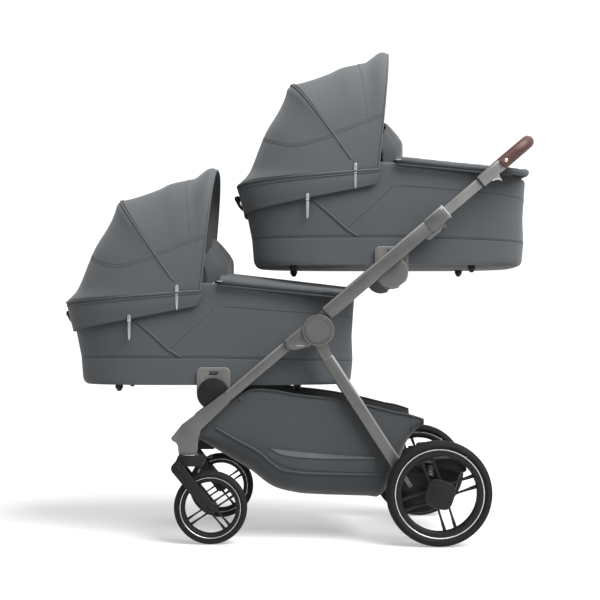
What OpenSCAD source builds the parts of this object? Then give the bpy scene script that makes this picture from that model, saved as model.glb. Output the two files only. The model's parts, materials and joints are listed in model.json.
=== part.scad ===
// Tandem twin pram: folding chassis with two lift-off carrycots, one above the other.
// Millimetres. +Z up, the pram faces -X, its left side is -Y.
// The origin is on the ground, below the middle of the whole pram.

/* [Wheels] */
// Diameter of a rear wheel over its tyre
rear_wheel_d = 292; // [270:1:310]
// Width of a rear tyre
rear_tyre_w = 44; // [36:1:48]
// Distance of the rear axle behind the origin
rear_axle_x = 390; // [376:1:406]
// Distance of a rear tyre's middle outside the middle line of a side tube
rear_wheel_out = 38; // [36:1:55]
// Diameter of a front wheel over its tyre
front_wheel_d = 204; // [190:1:206]
// Width of a front tyre
front_tyre_w = 38; // [30:1:42]
// Radial height of a tyre's section
tyre_h = 24; // [18:1:28]
// Radial depth of a rim under its tyre
rim_h = 18; // [12:1:22]
// Trail of a front wheel behind its swivel axis
caster_trail = 58; // [50:1:62]
// Pairs of spokes in each wheel
spoke_pairs = 4; // [3:1:6]

/* [Chassis] */
// Distance between the middles of the left and right side tubes
frame_track = 470; // [462:1:500]
// Thickness of the side tubes, across the pram
tube_w = 22; // [20:1:24]
// Depth of a front leg's tube
front_leg_depth = 30; // [26:1:34]
// Depth of a rear leg's tube
rear_leg_depth = 34; // [28:1:36]
// Depth of a lower handle tube
handle_depth = 40; // [36:1:44]
// Height of the fold pivot above the ground
hub_z = 594; // [580:1:610]
// Distance of the fold pivot behind the origin
hub_x = 58; // [50:1:66]
// Radius of the fold hub
hub_r = 43; // [41:1:46]
// Slope of the front legs, below the horizontal
front_leg_angle = 40.5; // [39:0.5:42]
// Slope of the rear legs, below the horizontal
rear_leg_angle = 57; // [55:0.5:59]
// Offset of a rear leg's middle line in front of the fold pivot
rear_leg_offset = 20; // [14:1:22]
// Slope of the handle above the horizontal
handle_angle = 40.5; // [39:0.5:42]
// Offset of a front leg's middle line above the fold pivot
front_leg_offset = 23; // [20:1:25]
// Offset of the handle's middle line above the fold pivot
handle_offset = 20; // [16:1:24]
// Length of a front leg's tube
front_leg_len = 226; // [210:1:240]

/* [Handle] */
// Length of a lower handle tube from the fold pivot
lower_tube_len = 484; // [460:1:500]
// Bare length of the sliding tube
bare_tube_len = 126; // [100:1:140]
// Length of the sleeve under the grip
sleeve_len = 93; // [80:1:96]
// Depth of the sliding tube
slide_tube_depth = 29; // [26:1:30]
// Thickness of the sliding tube, across the pram
slide_tube_w = 13; // [11:1:14]
// Straight length of the grip between a sleeve and a corner
grip_straight = 35; // [25:1:45]
// Diameter of the grip
grip_d = 36; // [32:1:38]
// Corner radius of the grip bar
grip_corner_r = 58; // [50:1:64]

/* [Carrycots] */
// Length of a carrycot's tub over its rim
cot_len = 828; // [815:1:840]
// Distance from the mounting point to the tub's foot end
mount_to_foot = 404; // [395:1:412]
// Room between a carrycot's tub and the middle line of a side tube
cot_side_room = 35; // [34:1:45]
// Height of the tub's rim over the mounting point
cot_h = 288; // [270:1:300]
// Drop of the rim from the mounting point to the foot end
rim_drop = 40; // [30:1:50]
// Wall of the tub
cot_wall = 8; // [5:1:10]
// Distance of the upper carrycot's mounting point behind the origin
upper_cot_x = 265; // [261:1:271]
// Height of the upper carrycot's floor
upper_cot_z = 780; // [775:1:790]
// Distance of the lower carrycot's mounting point behind the origin
lower_cot_x = -235; // [-239:1:-231]
// Height of the lower carrycot's floor
lower_cot_z = 440; // [435:1:445]
// Depth of the mounting peg below a carrycot's floor
peg_drop = 23; // [20:1:28]
// Radius of a mounting peg
peg_r = 8; // [6:0.5:9]
// Radius of an adapter's disc
adapter_r = 44; // [40:1:46]
// Thickness of the apron's padding
apron_t = 9; // [6:1:12]
// Thickness of the canopy's fabric
fabric_t = 3; // [2:0.5:4]

/* [Fits] */
// Gap between pieces that only touch
touch_gap = 0.3; // [0.25:0.05:0.4]
// Radial play of a pin in its bore
pin_play = 0.06; // [0.04:0.01:0.09]

/* [Hidden] */
$fn = 64;

// Side planes, measured out from the middle of the pram
side_y = frame_track / 2;
tube_in = side_y - tube_w / 2;
tube_out = side_y + tube_w / 2;

// Fold pivot and the three members that meet there
hub = [hub_x, 0, hub_z];
pin_r = 8;
eye_t = tube_w / 2 - touch_gap / 2;
eye_r = hub_r - 5;
plate_t = 10;
cap_t = 8;
rear_leg_start = 62;
handle_start = 56;
front_leg_start = 88;

// Rear wheels
rear_r = rear_wheel_d / 2;
rear_y = side_y + rear_wheel_out;
axle_r = 6;
rear_leg_dir = [cos(rear_leg_angle), 0, -sin(rear_leg_angle)];
rear_leg_line = hub - [sin(rear_leg_angle), 0, cos(rear_leg_angle)] * rear_leg_offset;
rear_leg_end = (rear_leg_line.z - rear_r - 14) / sin(rear_leg_angle);
rear_leg_foot = rear_leg_line + rear_leg_dir * rear_leg_end;
rear_axle = [rear_axle_x, 0, rear_r];
wheel_gap = 3;

// Front casters
front_r = front_wheel_d / 2;
leg_dir = [-cos(front_leg_angle), 0, -sin(front_leg_angle)];
leg_up = [-sin(front_leg_angle), 0, cos(front_leg_angle)];
leg_end = hub + leg_up * front_leg_offset + leg_dir * (front_leg_start + front_leg_len);
swivel_x = leg_end.x - 103;
swivel_top_z = 250;
front_axle = [swivel_x + caster_trail, 0, front_r];
crossbar = leg_end - [64, 0, 52];
crossbar_r = 11;
crossbar_end_r = 7;
stem_r = 9;
stem_h = 34;
block_gap = 1.5;
basket_setback = 22;
fork_pivot = [swivel_x - 32, 0, front_r + 111];
fork_pin_r = 5;
fork_arm_t = 9;
fork_inner = front_tyre_w / 2 + 5;
fork_end_r = 17;
block_half = fork_inner - touch_gap;

// Handle
handle_dir = [cos(handle_angle), 0, sin(handle_angle)];
handle_up = [-sin(handle_angle), 0, cos(handle_angle)];
handle_wall = 4;
bar_inside = 90;
sleeve_start = lower_tube_len + bare_tube_len;
sleeve_end = sleeve_start + sleeve_len;
grip_turn = sleeve_end + grip_straight;
handle_len = grip_turn + grip_corner_r;
collar_len = 66;

// Carrycots, each about its own mounting point on the floor line
bow_pivot = [-91, 0, cot_h - 25];
band_top_head = 51;
band_top_front = 22;
band_low_head = 136;
band_low_front = 62;
foot_x = mount_to_foot;
head_x = foot_x - cot_len;
band_end = head_x - 16;
// Fall of the rim at the head end, and where it begins
head_dip = 54;
dip_start = head_x + 194;
band_start = bow_pivot.x + 59;
cot_half_w = side_y - cot_side_room;
plan_power = 3.5;
ring_points = 40;
stud_r = 4;
bow_t = 2.6;
bow_w = 16;
bow_main_w = cot_half_w + 3 + bow_t;
bow_front_w = bow_main_w + bow_t + touch_gap;
canopy_gap = 1.2;
canopy_w = bow_front_w + canopy_gap + fabric_t;
bracket_t = cot_half_w + 8;
arch_points = 24;
main_bow_angle = 125.6;
main_bow_reach = 333;
front_bow_angle = 88;
front_bow_reach = 334;
lift_angle = 90 + handle_angle;
board_head = 130;
board_foot = 85;
board_t = 6;
foot_x_front = -275;
foot_x_rear = 235;
foot_y = cot_half_w - 65;
foot_drop = 20;
flap_x = 36;
zip_places = [[-102, cot_h - 12], [-236, cot_h - 96]];
cast_half = 15;

// Shared shapes

function mix(a, b, t) = a + (b - a) * t;
function signed_pow(v, e) = sign(v) * pow(abs(v), e);
function polar(origin, r, a) = origin + [r * cos(a), 0, r * sin(a)];

// Points of an arch from one side of the pram to the other, over a base and a top point
function arch(base, top, half_w, power, count = arch_points) = [
    for (i = [0:count])
        let (a = 180 * i / count, rise = pow(max(sin(a), 0), 2 / power))
            [mix(base.x, top.x, rise), half_w * signed_pow(cos(a), 2 / power), mix(base.z, top.z, rise)]
];

// Faces of a sheet whose outer and inner grids share rows and columns
function sheet_faces(rows, cols) =
    let (n = rows * cols)
        concat(
            [for (r = [0:rows - 2], c = [0:cols - 2], k = [0, 1])
                let (p = r * cols + c) k == 0 ? [p, p + 1, p + cols] : [p + 1, p + cols + 1, p + cols]],
            [for (r = [0:rows - 2], c = [0:cols - 2], k = [0, 1])
                let (p = n + r * cols + c) k == 0 ? [p, p + cols, p + 1] : [p + 1, p + cols, p + cols + 1]],
            [for (c = [0:cols - 2], k = [0, 1]) k == 0 ? [c, n + c, c + 1] : [c + 1, n + c, n + c + 1]],
            [for (c = [0:cols - 2], k = [0, 1])
                let (p = (rows - 1) * cols + c) k == 0 ? [p, p + 1, n + p] : [p + 1, n + p + 1, n + p]],
            [for (r = [0:rows - 2], k = [0, 1])
                let (p = r * cols) k == 0 ? [p, p + cols, n + p] : [p + cols, n + p + cols, n + p]],
            [for (r = [0:rows - 2], k = [0, 1])
                let (p = r * cols + cols - 1) k == 0 ? [p, n + p, p + cols] : [p + cols, n + p, n + p + cols]]
        );

// A sheet with thickness, from its outer and inner grids of points
module thick_sheet(outer, inner) {
    points = concat([for (row = outer) each row], [for (row = inner) each row]);
    polyhedron(points, sheet_faces(len(outer), len(outer[0])));
}

// A solid through closed rings of equal count, with flat ends
module loft(rings) {
    n = len(rings[0]);
    last = (len(rings) - 1) * n;
    sides = [for (r = [0:len(rings) - 2], i = [0:n - 1], k = [0, 1])
        let (a = r * n + i, b = r * n + (i + 1) % n) k == 0 ? [a, a + n, b] : [b, a + n, b + n]];
    first_end = [for (i = [1:n - 2]) [0, i, i + 1]];
    last_end = [for (i = [1:n - 2]) [last, last + i + 1, last + i]];
    polyhedron([for (ring = rings) each ring], concat(sides, first_end, last_end));
}

// A closed loop through rings of equal count
module loop_loft(rings) {
    n = len(rings[0]);
    m = len(rings);
    faces = [for (r = [0:m - 1], i = [0:n - 1], k = [0, 1])
        let (s = (r + 1) % m, a = r * n + i, b = r * n + (i + 1) % n, c = s * n + i, d = s * n + (i + 1) % n)
            k == 0 ? [a, c, b] : [b, c, d]];
    polyhedron([for (ring = rings) each ring], faces);
}

// The right-hand piece as drawn, or its mirror image on the left
module on_side(s) {
    if (s > 0) children();
    else mirror([0, 1, 0]) children();
}

module both_sides() {
    for (s = [-1, 1]) on_side(s) children();
}

// A cylinder across the pram, from y0 to y1
module across(p, r, y0, y1) {
    translate([p.x, y0, p.z]) rotate([-90, 0, 0]) cylinder(h = y1 - y0, r = r);
}

// A side outline, drawn in X and Z, made y0 to y1 thick
module side_plate(y0, y1) {
    translate([0, y1, 0]) rotate([90, 0, 0]) linear_extrude(y1 - y0) children();
}

// Section of a side tube: flat sides and round edges
module tube_section(depth, width) {
    flat = depth - width;
    square([flat, width], center = true);
    for (s = [-1, 1]) translate([s * flat / 2, 0]) circle(d = width);
}

// A side tube along a slope in the side plane, starting at a point, on the right-hand side
module side_tube(start, slope, length, depth, width) {
    translate([start.x, side_y, start.z]) rotate([0, 90 - slope, 0])
        linear_extrude(length) tube_section(depth, width);
}

// Chassis: front legs, hubs and what is fixed to them

module front_leg() {
    start = hub + leg_up * front_leg_offset + leg_dir * front_leg_start;
    side_tube(start, 180 + front_leg_angle, front_leg_len, front_leg_depth, tube_w);
    front_leg_casting();
}

// Cast end of a front leg: carries on from the tube and turns down to the swivel bore
module front_leg_casting() {
    top = leg_end + leg_up * front_leg_depth / 2;
    low = leg_end - leg_up * front_leg_depth / 2;
    z0 = swivel_top_z;
    difference() {
        side_plate(side_y - cast_half, side_y + cast_half) difference() {
            polygon([
                [top.x, top.z], [swivel_x - 21, z0 + 83], [swivel_x - 51, z0 + 45], [swivel_x - 31, z0 + 14],
                [swivel_x - 29, z0], [swivel_x + 19, z0], [swivel_x + 22, z0 + 36],
                [swivel_x + 32, z0 + 68], [low.x, low.z]
            ]);
            translate([swivel_x - 51, z0 + 18]) circle(r = 20);
        }
        translate([swivel_x, side_y, z0 - 1]) cylinder(h = stem_h + 3, r = stem_r + pin_play);
        across(crossbar, crossbar_end_r, side_y - cast_half - 1, tube_in + 4);
    }
}

module front_legs() {
    color("#85827d") both_sides() front_leg();
}

// Hub casting: a disc on the pivot with a socket that holds the front leg
module hub_housing() {
    arm = leg_up * front_leg_offset;
    end = hub + arm + leg_dir * (front_leg_start + 8);
    web = hub + arm + leg_dir * (front_leg_start - 8);
    difference() {
        union() {
            across(hub, hub_r, tube_out + touch_gap, tube_out + touch_gap + plate_t);
            translate([end.x, side_y, end.z]) rotate([0, 90 - (180 + front_leg_angle), 0])
                translate([0, 0, -34]) linear_extrude(34) tube_section(front_leg_depth + 8, tube_w + 8);
            side_plate(tube_out + touch_gap, tube_out + touch_gap + plate_t) polygon([
                [hub.x - 24, hub.z + 33], [web.x + leg_up.x * 11, web.z + leg_up.z * 11],
                [web.x - leg_up.x * 11, web.z - leg_up.z * 11], [hub.x - 22, hub.z - 35]
            ]);
        }
        across(hub, pin_r + pin_play, tube_in - 1, tube_out + 30);
        start = hub + arm + leg_dir * front_leg_start;
        side_tube(start, 180 + front_leg_angle, front_leg_len, front_leg_depth, tube_w);
    }
}

module hub_housings() {
    color("#7a7772") both_sides() hub_housing();
}

// Hub cap with the pivot pin that carries the handle and the rear leg
module hub_cap() {
    y0 = tube_out + touch_gap + plate_t;
    across(hub, hub_r + 1, y0, y0 + cap_t);
    across(hub, hub_r - 6, y0 + cap_t, y0 + cap_t + 2);
    across(hub, pin_r, tube_in, y0);
    across(hub, pin_r + 5, tube_in - 4, tube_in);
}

module hub_caps() {
    color("#85827d") both_sides() hub_cap();
}

module front_crossbar() {
    shoulder = side_y - cast_half - touch_gap;
    color("#202124") {
        across(crossbar, crossbar_end_r - pin_play, -tube_in - 3, tube_in + 3);
        across(crossbar, crossbar_r, -shoulder, shoulder);
    }
}

// Disc on the inner face of a tube, with the peg that a carrycot hangs on
module adapter(p, face_y) {
    across(p, adapter_r, bracket_t + touch_gap, face_y);
    across(p, peg_r, cot_half_w + 1.5, bracket_t + touch_gap);
}

module lower_adapters() {
    color("#1b1c1e") both_sides() adapter([lower_cot_x, 0, lower_cot_z - peg_drop], side_y - cast_half);
}

module upper_adapters() {
    color("#8a8782") both_sides() adapter([upper_cot_x, 0, upper_cot_z - peg_drop], tube_in);
}

// Shopping basket: a sagging fabric trough between the front and rear legs
module basket() {
    w = min(tube_in, side_y - cast_half) - touch_gap;
    t = fabric_t;
    front = swivel_x + basket_setback;
    // Each station: distance behind the front edge, height of the top edge, height of the floor
    stations = [
        [0, 300, 285], [40, 346, 255], [80, 384, 229], [143, 424, 189], [206, 425, 142], [277, 413, 123],
        [340, 406, 118], [396, 398, 116], [475, 383, 114], [516, 373, 116], [552, 364, 180], [589, 357, 276],
        [628, 345, 326]
    ];
    function section(s, d) = arch([front + s[0], 0, s[1]], [front + s[0], 0, s[2] + d], w - d, 4.5);
    color("#4c5154") thick_sheet([for (s = stations) section(s, 0)], [for (s = stations) section(s, t)]);
}

// Front casters

// Swivel block under a front leg: the stem above, the fork's pin in front
module caster(s) {
    z1 = swivel_top_z - block_gap;
    color("#1d1e21") on_side(s) difference() {
        union() {
            side_plate(side_y - block_half, side_y + block_half) polygon([
                [swivel_x - 30, z1], [swivel_x + 40, z1], [swivel_x + 44, z1 - 12], [swivel_x + 36, z1 - 31],
                [swivel_x - 8, z1 - 31], [fork_pivot.x + 12, fork_pivot.z - 12], [fork_pivot.x - 10, fork_pivot.z + 8]
            ]);
            across(fork_pivot, fork_end_r - 3, side_y - block_half, side_y + block_half);
            across(fork_pivot, fork_pin_r, side_y - fork_inner - fork_arm_t, side_y + fork_inner + fork_arm_t);
            translate([swivel_x, side_y, z1 - 1]) cylinder(h = stem_h, r = stem_r);
        }
        translate([swivel_x + 46, side_y, z1 - 4]) cube([20, 17, 14], center = true);
    }
}

// Lever on the back of a swivel block that drops the lock
module swivel_lock(s) {
    z1 = swivel_top_z - block_gap;
    color("#2a2b2e") on_side(s) {
        translate([swivel_x + 36 + touch_gap, side_y - 8, z1 - 11 + touch_gap]) cube([24, 16, 5]);
        translate([swivel_x + 55, side_y - 8, z1 - 11 + touch_gap]) cube([7, 16, 11]);
    }
}

// Suspension fork: two arms from the pivot pin to the axle
module fork(s) {
    color("#1f2023") on_side(s) for (k = [-1, 1]) {
        y0 = side_y + k * (fork_inner + fork_arm_t / 2) - fork_arm_t / 2;
        difference() {
            union() {
                side_plate(y0, y0 + fork_arm_t) fork_outline();
                across(front_axle, fork_end_r - 2, y0, y0 + fork_arm_t);
                across(fork_pivot, fork_end_r, y0, y0 + fork_arm_t);
            }
            across(fork_pivot, fork_pin_r + pin_play, y0 - 1, y0 + fork_arm_t + 1);
        }
        if (k < 0) across(front_axle, axle_r, y0 + fork_arm_t, side_y + fork_inner);
    }
}

module fork_outline() {
    d = front_axle - fork_pivot;
    n = [d.z, 0, -d.x] / norm(d);
    a = fork_pivot + n * fork_end_r;
    b = fork_pivot - n * fork_end_r;
    c = front_axle - n * (fork_end_r - 2);
    e = front_axle + n * (fork_end_r - 2);
    polygon([[a.x, a.z], [b.x, b.z], [c.x, c.z], [e.x, e.z]]);
}

// Wheels

// Rounded tyre section, turned about the axle
module tyre(p, y, r, w) {
    translate([p.x, y, p.z]) rotate([90, 0, 0]) rotate_extrude() difference() {
        union() {
            translate([r - tyre_h, -w / 2 + 5]) square([tyre_h - w / 4, w - 10]);
            translate([r - tyre_h + 3, -w / 2]) square([tyre_h - w / 4 - 3, w]);
            translate([r - w / 4, 0]) square([w / 4, w / 2 - 2], center = false);
            translate([r - w / 4, -w / 2 + 2]) square([w / 4, w / 2 - 2]);
        }
        for (k = [-1, 1]) translate([r, k * w / 2]) circle(r = w / 5);
    }
}

// Rim, spokes in pairs and the hub, in one moulding
module rim(p, y, r, w, cap_side, cap_r) {
    rim_out = r - tyre_h - touch_gap;
    hub_out = max(17, cap_r - 6);
    hub_half = w / 2 + 1;
    translate([p.x, y, p.z]) rotate([90, 0, 0]) difference() {
        union() {
            rotate_extrude() translate([rim_out - rim_h, -w / 2 + 5]) square([rim_h, w - 10]);
            translate([0, 0, -hub_half]) cylinder(h = 2 * hub_half, r = hub_out);
            for (i = [0:spoke_pairs - 1], k = [-1, 1]) rotate(360 * i / spoke_pairs + 15)
                translate([0, k * hub_out * 0.62 - 3, -6]) cube([rim_out - rim_h / 2, 6, 12]);
            if (cap_side != 0) translate([0, 0, cap_side > 0 ? -hub_half - 5 : hub_half]) cylinder(h = 5, r = cap_r);
        }
        reach = cap_side == 0 ? hub_half + 1 : hub_half - 6;
        translate([0, 0, cap_side > 0 ? -reach : -hub_half - 1])
            cylinder(h = reach + hub_half + 1, r = axle_r + pin_play);
    }
}

module front_tyre(s) { color("#232427") tyre(front_axle, s * side_y, front_r, front_tyre_w); }
module front_rim(s) { color("#1a1b1d") rim(front_axle, s * side_y, front_r, front_tyre_w, 0, 20); }
module rear_tyre(s) { color("#232427") tyre(rear_axle, s * rear_y, rear_r, rear_tyre_w); }
module rear_rim(s) { color("#1a1b1d") rim(rear_axle, s * rear_y, rear_r, rear_tyre_w, s, 36); }

// Rear frame

// Rear leg with the eye that turns on the fold pivot
module rear_leg() {
    start = rear_leg_line + rear_leg_dir * rear_leg_start;
    length = rear_leg_end - rear_leg_start;
    across_leg = [sin(rear_leg_angle), 0, cos(rear_leg_angle)] * (rear_leg_depth / 2 - 3);
    web = start + rear_leg_dir * 8;
    difference() {
        union() {
            side_tube(start, -rear_leg_angle, length, rear_leg_depth, tube_w);
            across(hub, eye_r, side_y + touch_gap / 2, tube_out);
            side_plate(side_y + touch_gap / 2, tube_out) polygon([
                [hub.x + 20, hub.z - 10], [web.x + across_leg.x, web.z + across_leg.z],
                [web.x - across_leg.x, web.z - across_leg.z], [hub.x - 26, hub.z + 6]
            ]);
        }
        across(hub, pin_r + pin_play, tube_in - 1, tube_out + 1);
    }
}

module rear_legs() {
    color("#85827d") both_sides() rear_leg();
}

// Moulded beam across the rear legs, with the leg sockets and the stub axles
module rear_axle_beam() {
    color("#1b1c1f") {
        translate([rear_axle_x - 22, -tube_in - 4, rear_r - 20]) cube([44, 2 * tube_in + 8, 40]);
        both_sides() {
            difference() {
                side_plate(tube_in - 4, tube_out) polygon([
                    [rear_leg_foot.x - 40, rear_r + 56], [rear_leg_foot.x - 6, rear_r + 70],
                    [rear_axle_x + 22, rear_r + 20], [rear_axle_x + 22, rear_r - 20],
                    [rear_axle_x - 40, rear_r - 30], [rear_leg_foot.x - 30, rear_r - 4]
                ]);
                start = rear_leg_line + rear_leg_dir * rear_leg_start;
                side_tube(start, -rear_leg_angle, rear_leg_end - rear_leg_start, rear_leg_depth, tube_w);
            }
            across(rear_axle, axle_r, tube_out, rear_y + rear_tyre_w / 2 - 6);
            across(rear_axle, axle_r + 6, tube_out, rear_y - rear_tyre_w / 2 - 1 - touch_gap);
            across([rear_axle_x + 6, 0, rear_r + 34], 6 - pin_play, 62, 74);
            translate([rear_axle_x, 66, rear_r + 20]) cube([12, 8, 14]);
        }
    }
}

// Foot pedal that locks both rear wheels, hinged on two studs of the beam
module brake_pedal() {
    p = [rear_axle_x + 6, 0, rear_r + 34];
    color("#222326") difference() {
        union() {
            across(p, 11, -65.5, 65.5);
            side_plate(-65.5, 65.5) polygon([
                [p.x, p.z + 11], [p.x + 24, p.z + 26], [p.x + 62, p.z + 25], [p.x + 92, p.z + 8],
                [p.x + 89, p.z - 13], [p.x + 80, p.z - 14], [p.x + 68, p.z + 6], [p.x + 34, p.z + 6],
                [p.x + 22, p.z - 6], [p.x, p.z - 8]
            ]);
        }
        across(p, 6, -66, -61);
        across(p, 6, 61, 66);
    }
}

// Handle

// Lower tube: an eye on the fold pivot, then the tube that the handle slides in
module handle_tube() {
    start = hub + handle_up * handle_offset + handle_dir * handle_start;
    length = lower_tube_len - handle_start;
    bore_from = lower_tube_len - bar_inside - 110;
    bore_start = hub + handle_up * handle_offset + handle_dir * bore_from;
    difference() {
        union() {
            side_tube(start, handle_angle, length, handle_depth, tube_w);
            across(hub, eye_r, tube_in, side_y - touch_gap / 2);
            side_plate(tube_in, side_y - touch_gap / 2) polygon([
                [hub.x - 30, hub.z + 8], [start.x + handle_up.x * 18, start.z + handle_up.z * 18],
                [start.x - handle_up.x * 18, start.z - handle_up.z * 18], [hub.x + 24, hub.z - 10]
            ]);
            collar = hub + handle_up * handle_offset + handle_dir * (lower_tube_len - collar_len);
            side_tube(collar, handle_angle, collar_len, handle_depth + 4, tube_w + 3);
        }
        across(hub, pin_r + pin_play, tube_in - 1, tube_out + 1);
        side_tube(bore_start, handle_angle, lower_tube_len, slide_tube_depth + 2 * touch_gap, slide_tube_w + 2 * touch_gap);
        trigger_pocket();
    }
}

module trigger_pocket() {
    translate([hub.x, side_y, hub.z]) rotate([0, -handle_angle, 0])
        translate([lower_tube_len - 52, -5, handle_offset - handle_depth / 2 - 4]) cube([40, 10, 7]);
}

module handle_tubes() {
    color("#8a8782") both_sides() handle_tube();
}

// Sliding tubes on both sides, up to the sleeves
module handle_bar() {
    from = lower_tube_len - bar_inside;
    start = hub + handle_up * handle_offset + handle_dir * from;
    color("#96938e") both_sides()
        side_tube(start, handle_angle, sleeve_end - 30 - from, slide_tube_depth, slide_tube_w);
}

// Sleeve over the end of each sliding tube, with the socket for the grip
module handle_sleeves() {
    start = hub + handle_up * handle_offset + handle_dir * sleeve_start;
    color("#8f8c87") both_sides() difference() {
        side_tube(start, handle_angle, sleeve_len, slide_tube_depth + 6, slide_tube_w + 9);
        side_tube(start - handle_dir, handle_angle, sleeve_len - 30 + 1, slide_tube_depth, slide_tube_w);
        translate([hub.x, side_y, hub.z]) rotate([0, -handle_angle, 0])
            translate([sleeve_start + 26, -5, handle_offset - slide_tube_depth / 2 - 5]) cube([36, 10, 6]);
    }
}

// Leather-covered grip: one bar with two round corners and straight ends in the sleeves
module handle_grip() {
    r = grip_d / 2;
    color("#6b4034") translate([hub.x, 0, hub.z]) rotate([0, -handle_angle, 0]) translate([0, 0, handle_offset]) {
        translate([handle_len, -(side_y - grip_corner_r), 0]) rotate([-90, 0, 0])
            cylinder(h = 2 * (side_y - grip_corner_r), r = r);
        both_sides() {
            translate([sleeve_end, side_y, 0]) rotate([0, 90, 0]) cylinder(h = grip_straight, r = r);
            translate([grip_turn, side_y - grip_corner_r, 0])
                rotate_extrude(angle = 90) translate([grip_corner_r, 0]) circle(r = r);
        }
    }
}

// A finger lever seen under a tube: a curved fin on a flat foot
module finger_lever(along, foot_depth, fin_h) {
    translate([hub.x, side_y, hub.z]) rotate([0, -handle_angle, 0]) translate([along, 0, foot_depth])
        translate([0, 4, 0]) rotate([90, 0, 0]) linear_extrude(8) difference() {
            polygon([[0, 0], [0, -5], [8, -7], [16, -fin_h], [22, -fin_h], [24, -6], [26, 0]]);
            translate([6, -fin_h - 1]) circle(r = fin_h - 7);
        }
}

module height_lever(s) {
    color("#c9c9c8") on_side(s)
        finger_lever(sleeve_start + 28, handle_offset - slide_tube_depth / 2 - touch_gap, 20);
}

module fold_trigger(s) {
    color("#8f8c87") on_side(s)
        finger_lever(lower_tube_len - 48, handle_offset - handle_depth / 2 + 2.5, 24);
}

// Carrycot

// Height of the tub's rim along its length
function head_fall(x) = head_dip * pow(max(0, (dip_start - x) / (dip_start - head_x)), 1.5);
function flat_z(x) = cot_h - rim_drop * max(0, x) / foot_x;
function rim_z(x) = flat_z(x) - head_fall(x);

// Each level of the tub: share of the height, head end's and foot end's setback from the rim
tub_levels = [[0, 44, 24], [0.06, 31, 10], [0.27, 26, 5], [0.55, 13, 10], [0.78, 5, 6], [1, 0, 0]];

// A level between the top two, at a share of the height
function top_level(share) =
    let (low = tub_levels[len(tub_levels) - 2], high = tub_levels[len(tub_levels) - 1])
        mix(low, high, (share - low[0]) / (high[0] - low[0]));

// One level of the tub in plan, drawn in by inset
function tub_ring(level, inset, lift) =
    let (x0 = head_x + level[1] + inset, x1 = foot_x - level[2] - inset, w = cot_half_w - inset)
        [for (i = [0:ring_points - 1])
            let (a = 360 * i / ring_points, x = mix(x0, x1, (1 + signed_pow(cos(a), 2 / plan_power)) / 2))
                [
                    x, w * signed_pow(sin(a), 2 / plan_power),
                    max(level[0] * flat_z(x) - pow(level[0], 4) * head_fall(x), lift)
                ]];

module cot_shell() {
    outer = [for (l = tub_levels) tub_ring(l, 0, 0)];
    inner = [for (i = [len(tub_levels) - 1:-1:0]) tub_ring(tub_levels[i], cot_wall, cot_wall)];
    color("#565b5e") loft(concat(outer, inner));
}

// Stiff loop inside the tub's rim
module cot_rim() {
    function section(inset, drop) = tub_ring(top_level(1 - drop / cot_h), cot_wall + touch_gap + inset, 0);
    a = section(0, 4);
    b = section(12, 4);
    c = section(12, 20);
    d = section(0, 20);
    color("#2b2c2e") loop_loft([for (i = [0:ring_points - 1]) [a[i], b[i], c[i], d[i]]]);
}

// Stiff board in the bottom of the tub, and the moulded feet under it
module cot_base() {
    z0 = cot_wall + touch_gap;
    w = cot_half_w - 75;
    color("#191a1c") {
        translate([head_x + board_head, -w, z0]) cube([cot_len - board_head - board_foot, 2 * w, board_t]);
        for (x = [foot_x_front, foot_x_rear], y = [-foot_y, foot_y]) translate([x, y, -foot_drop]) {
            translate([0, 0, 8]) cylinder(h = foot_drop - 8, r = 11);
            sphere_foot();
        }
    }
}

module sphere_foot() {
    translate([0, 0, 8]) intersection() {
        sphere(r = 8.5);
        translate([-10, -10, -8]) cube([20, 20, 9]);
    }
}

// Mattress: a crowned pad with drawn-in sides
module mattress() {
    z0 = cot_wall + board_t + 2 * touch_gap;
    levels = [[0, 16], [8, 4], [18, 0], [28, 6], [34, 34], [37, 90]];
    function ring(l) = [
        for (i = [0:ring_points - 1])
            let (a = 360 * i / ring_points)
                [
                    mix(head_x + 84 + l[1], foot_x - 46 - l[1], (1 + signed_pow(cos(a), 2 / plan_power)) / 2),
                    (cot_half_w - 32 - l[1]) * signed_pow(sin(a), 2 / plan_power), z0 + l[0]
                ]
    ];
    color("#c9cbca") loft([for (l = levels) ring(l)]);
}

// Apron over the foot end, with its raised wind flap
module apron() {
    color("#565b5e") {
        apron_cover();
        wind_flap();
    }
}

// Height of the apron's crown at a distance from the middle: none over the tub's wall
function apron_crown(y) = 16 * (1 - pow(min(1, abs(y) / (cot_half_w - cot_wall - 6)), 2.4));

module apron_cover() {
    start = 16;
    w = cot_half_w + 5;
    t = apron_t;
    function across_share(j) = -1 + j / 8;
    function end_x(v) = foot_x + 6 - 70 * pow(abs(v), 5);
    function cover_z(x, v) = rim_z(min(x, foot_x)) + touch_gap + apron_crown(w * v);
    function row(i, d) = [
        for (j = [0:16])
            let (v = across_share(j), x = mix(start, end_x(v), i / 10))
                [x, w * v, cover_z(x, v) + d]
    ];
    thick_sheet([for (i = [10:-1:0]) row(i, t)], [for (i = [10:-1:0]) row(i, 0)]);
}

module wind_flap() {
    w = cot_half_w - 22;
    t = 4;
    base = rim_z(flap_x - 6) + touch_gap * 2 + apron_t;
    function rise(v) = 58 + 44 * (1 - pow(abs(v), 2.5));
    function row(s, d) = [
        for (j = [0:12])
            let (v = -1 + j / 6, lean = 52 * s * s * (1 - 0.7 * pow(abs(v), 3)))
                [flap_x - lean - d - 18 * s - 62 * pow(abs(v), 5), w * v, base + apron_crown(w * v) + rise(v) * s]
    ];
    steps = [0, 0.3, 0.6, 0.85, 1];
    thick_sheet([for (s = steps) row(s, 0)], [for (s = steps) row(s, t)]);
}

// Canopy: the panels are lofted through arches between the bows

main_top = polar(bow_pivot, main_bow_reach, main_bow_angle);
front_top = polar(bow_pivot, front_bow_reach, front_bow_angle);
front_base = bow_pivot + [40, 0, 2];

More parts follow.
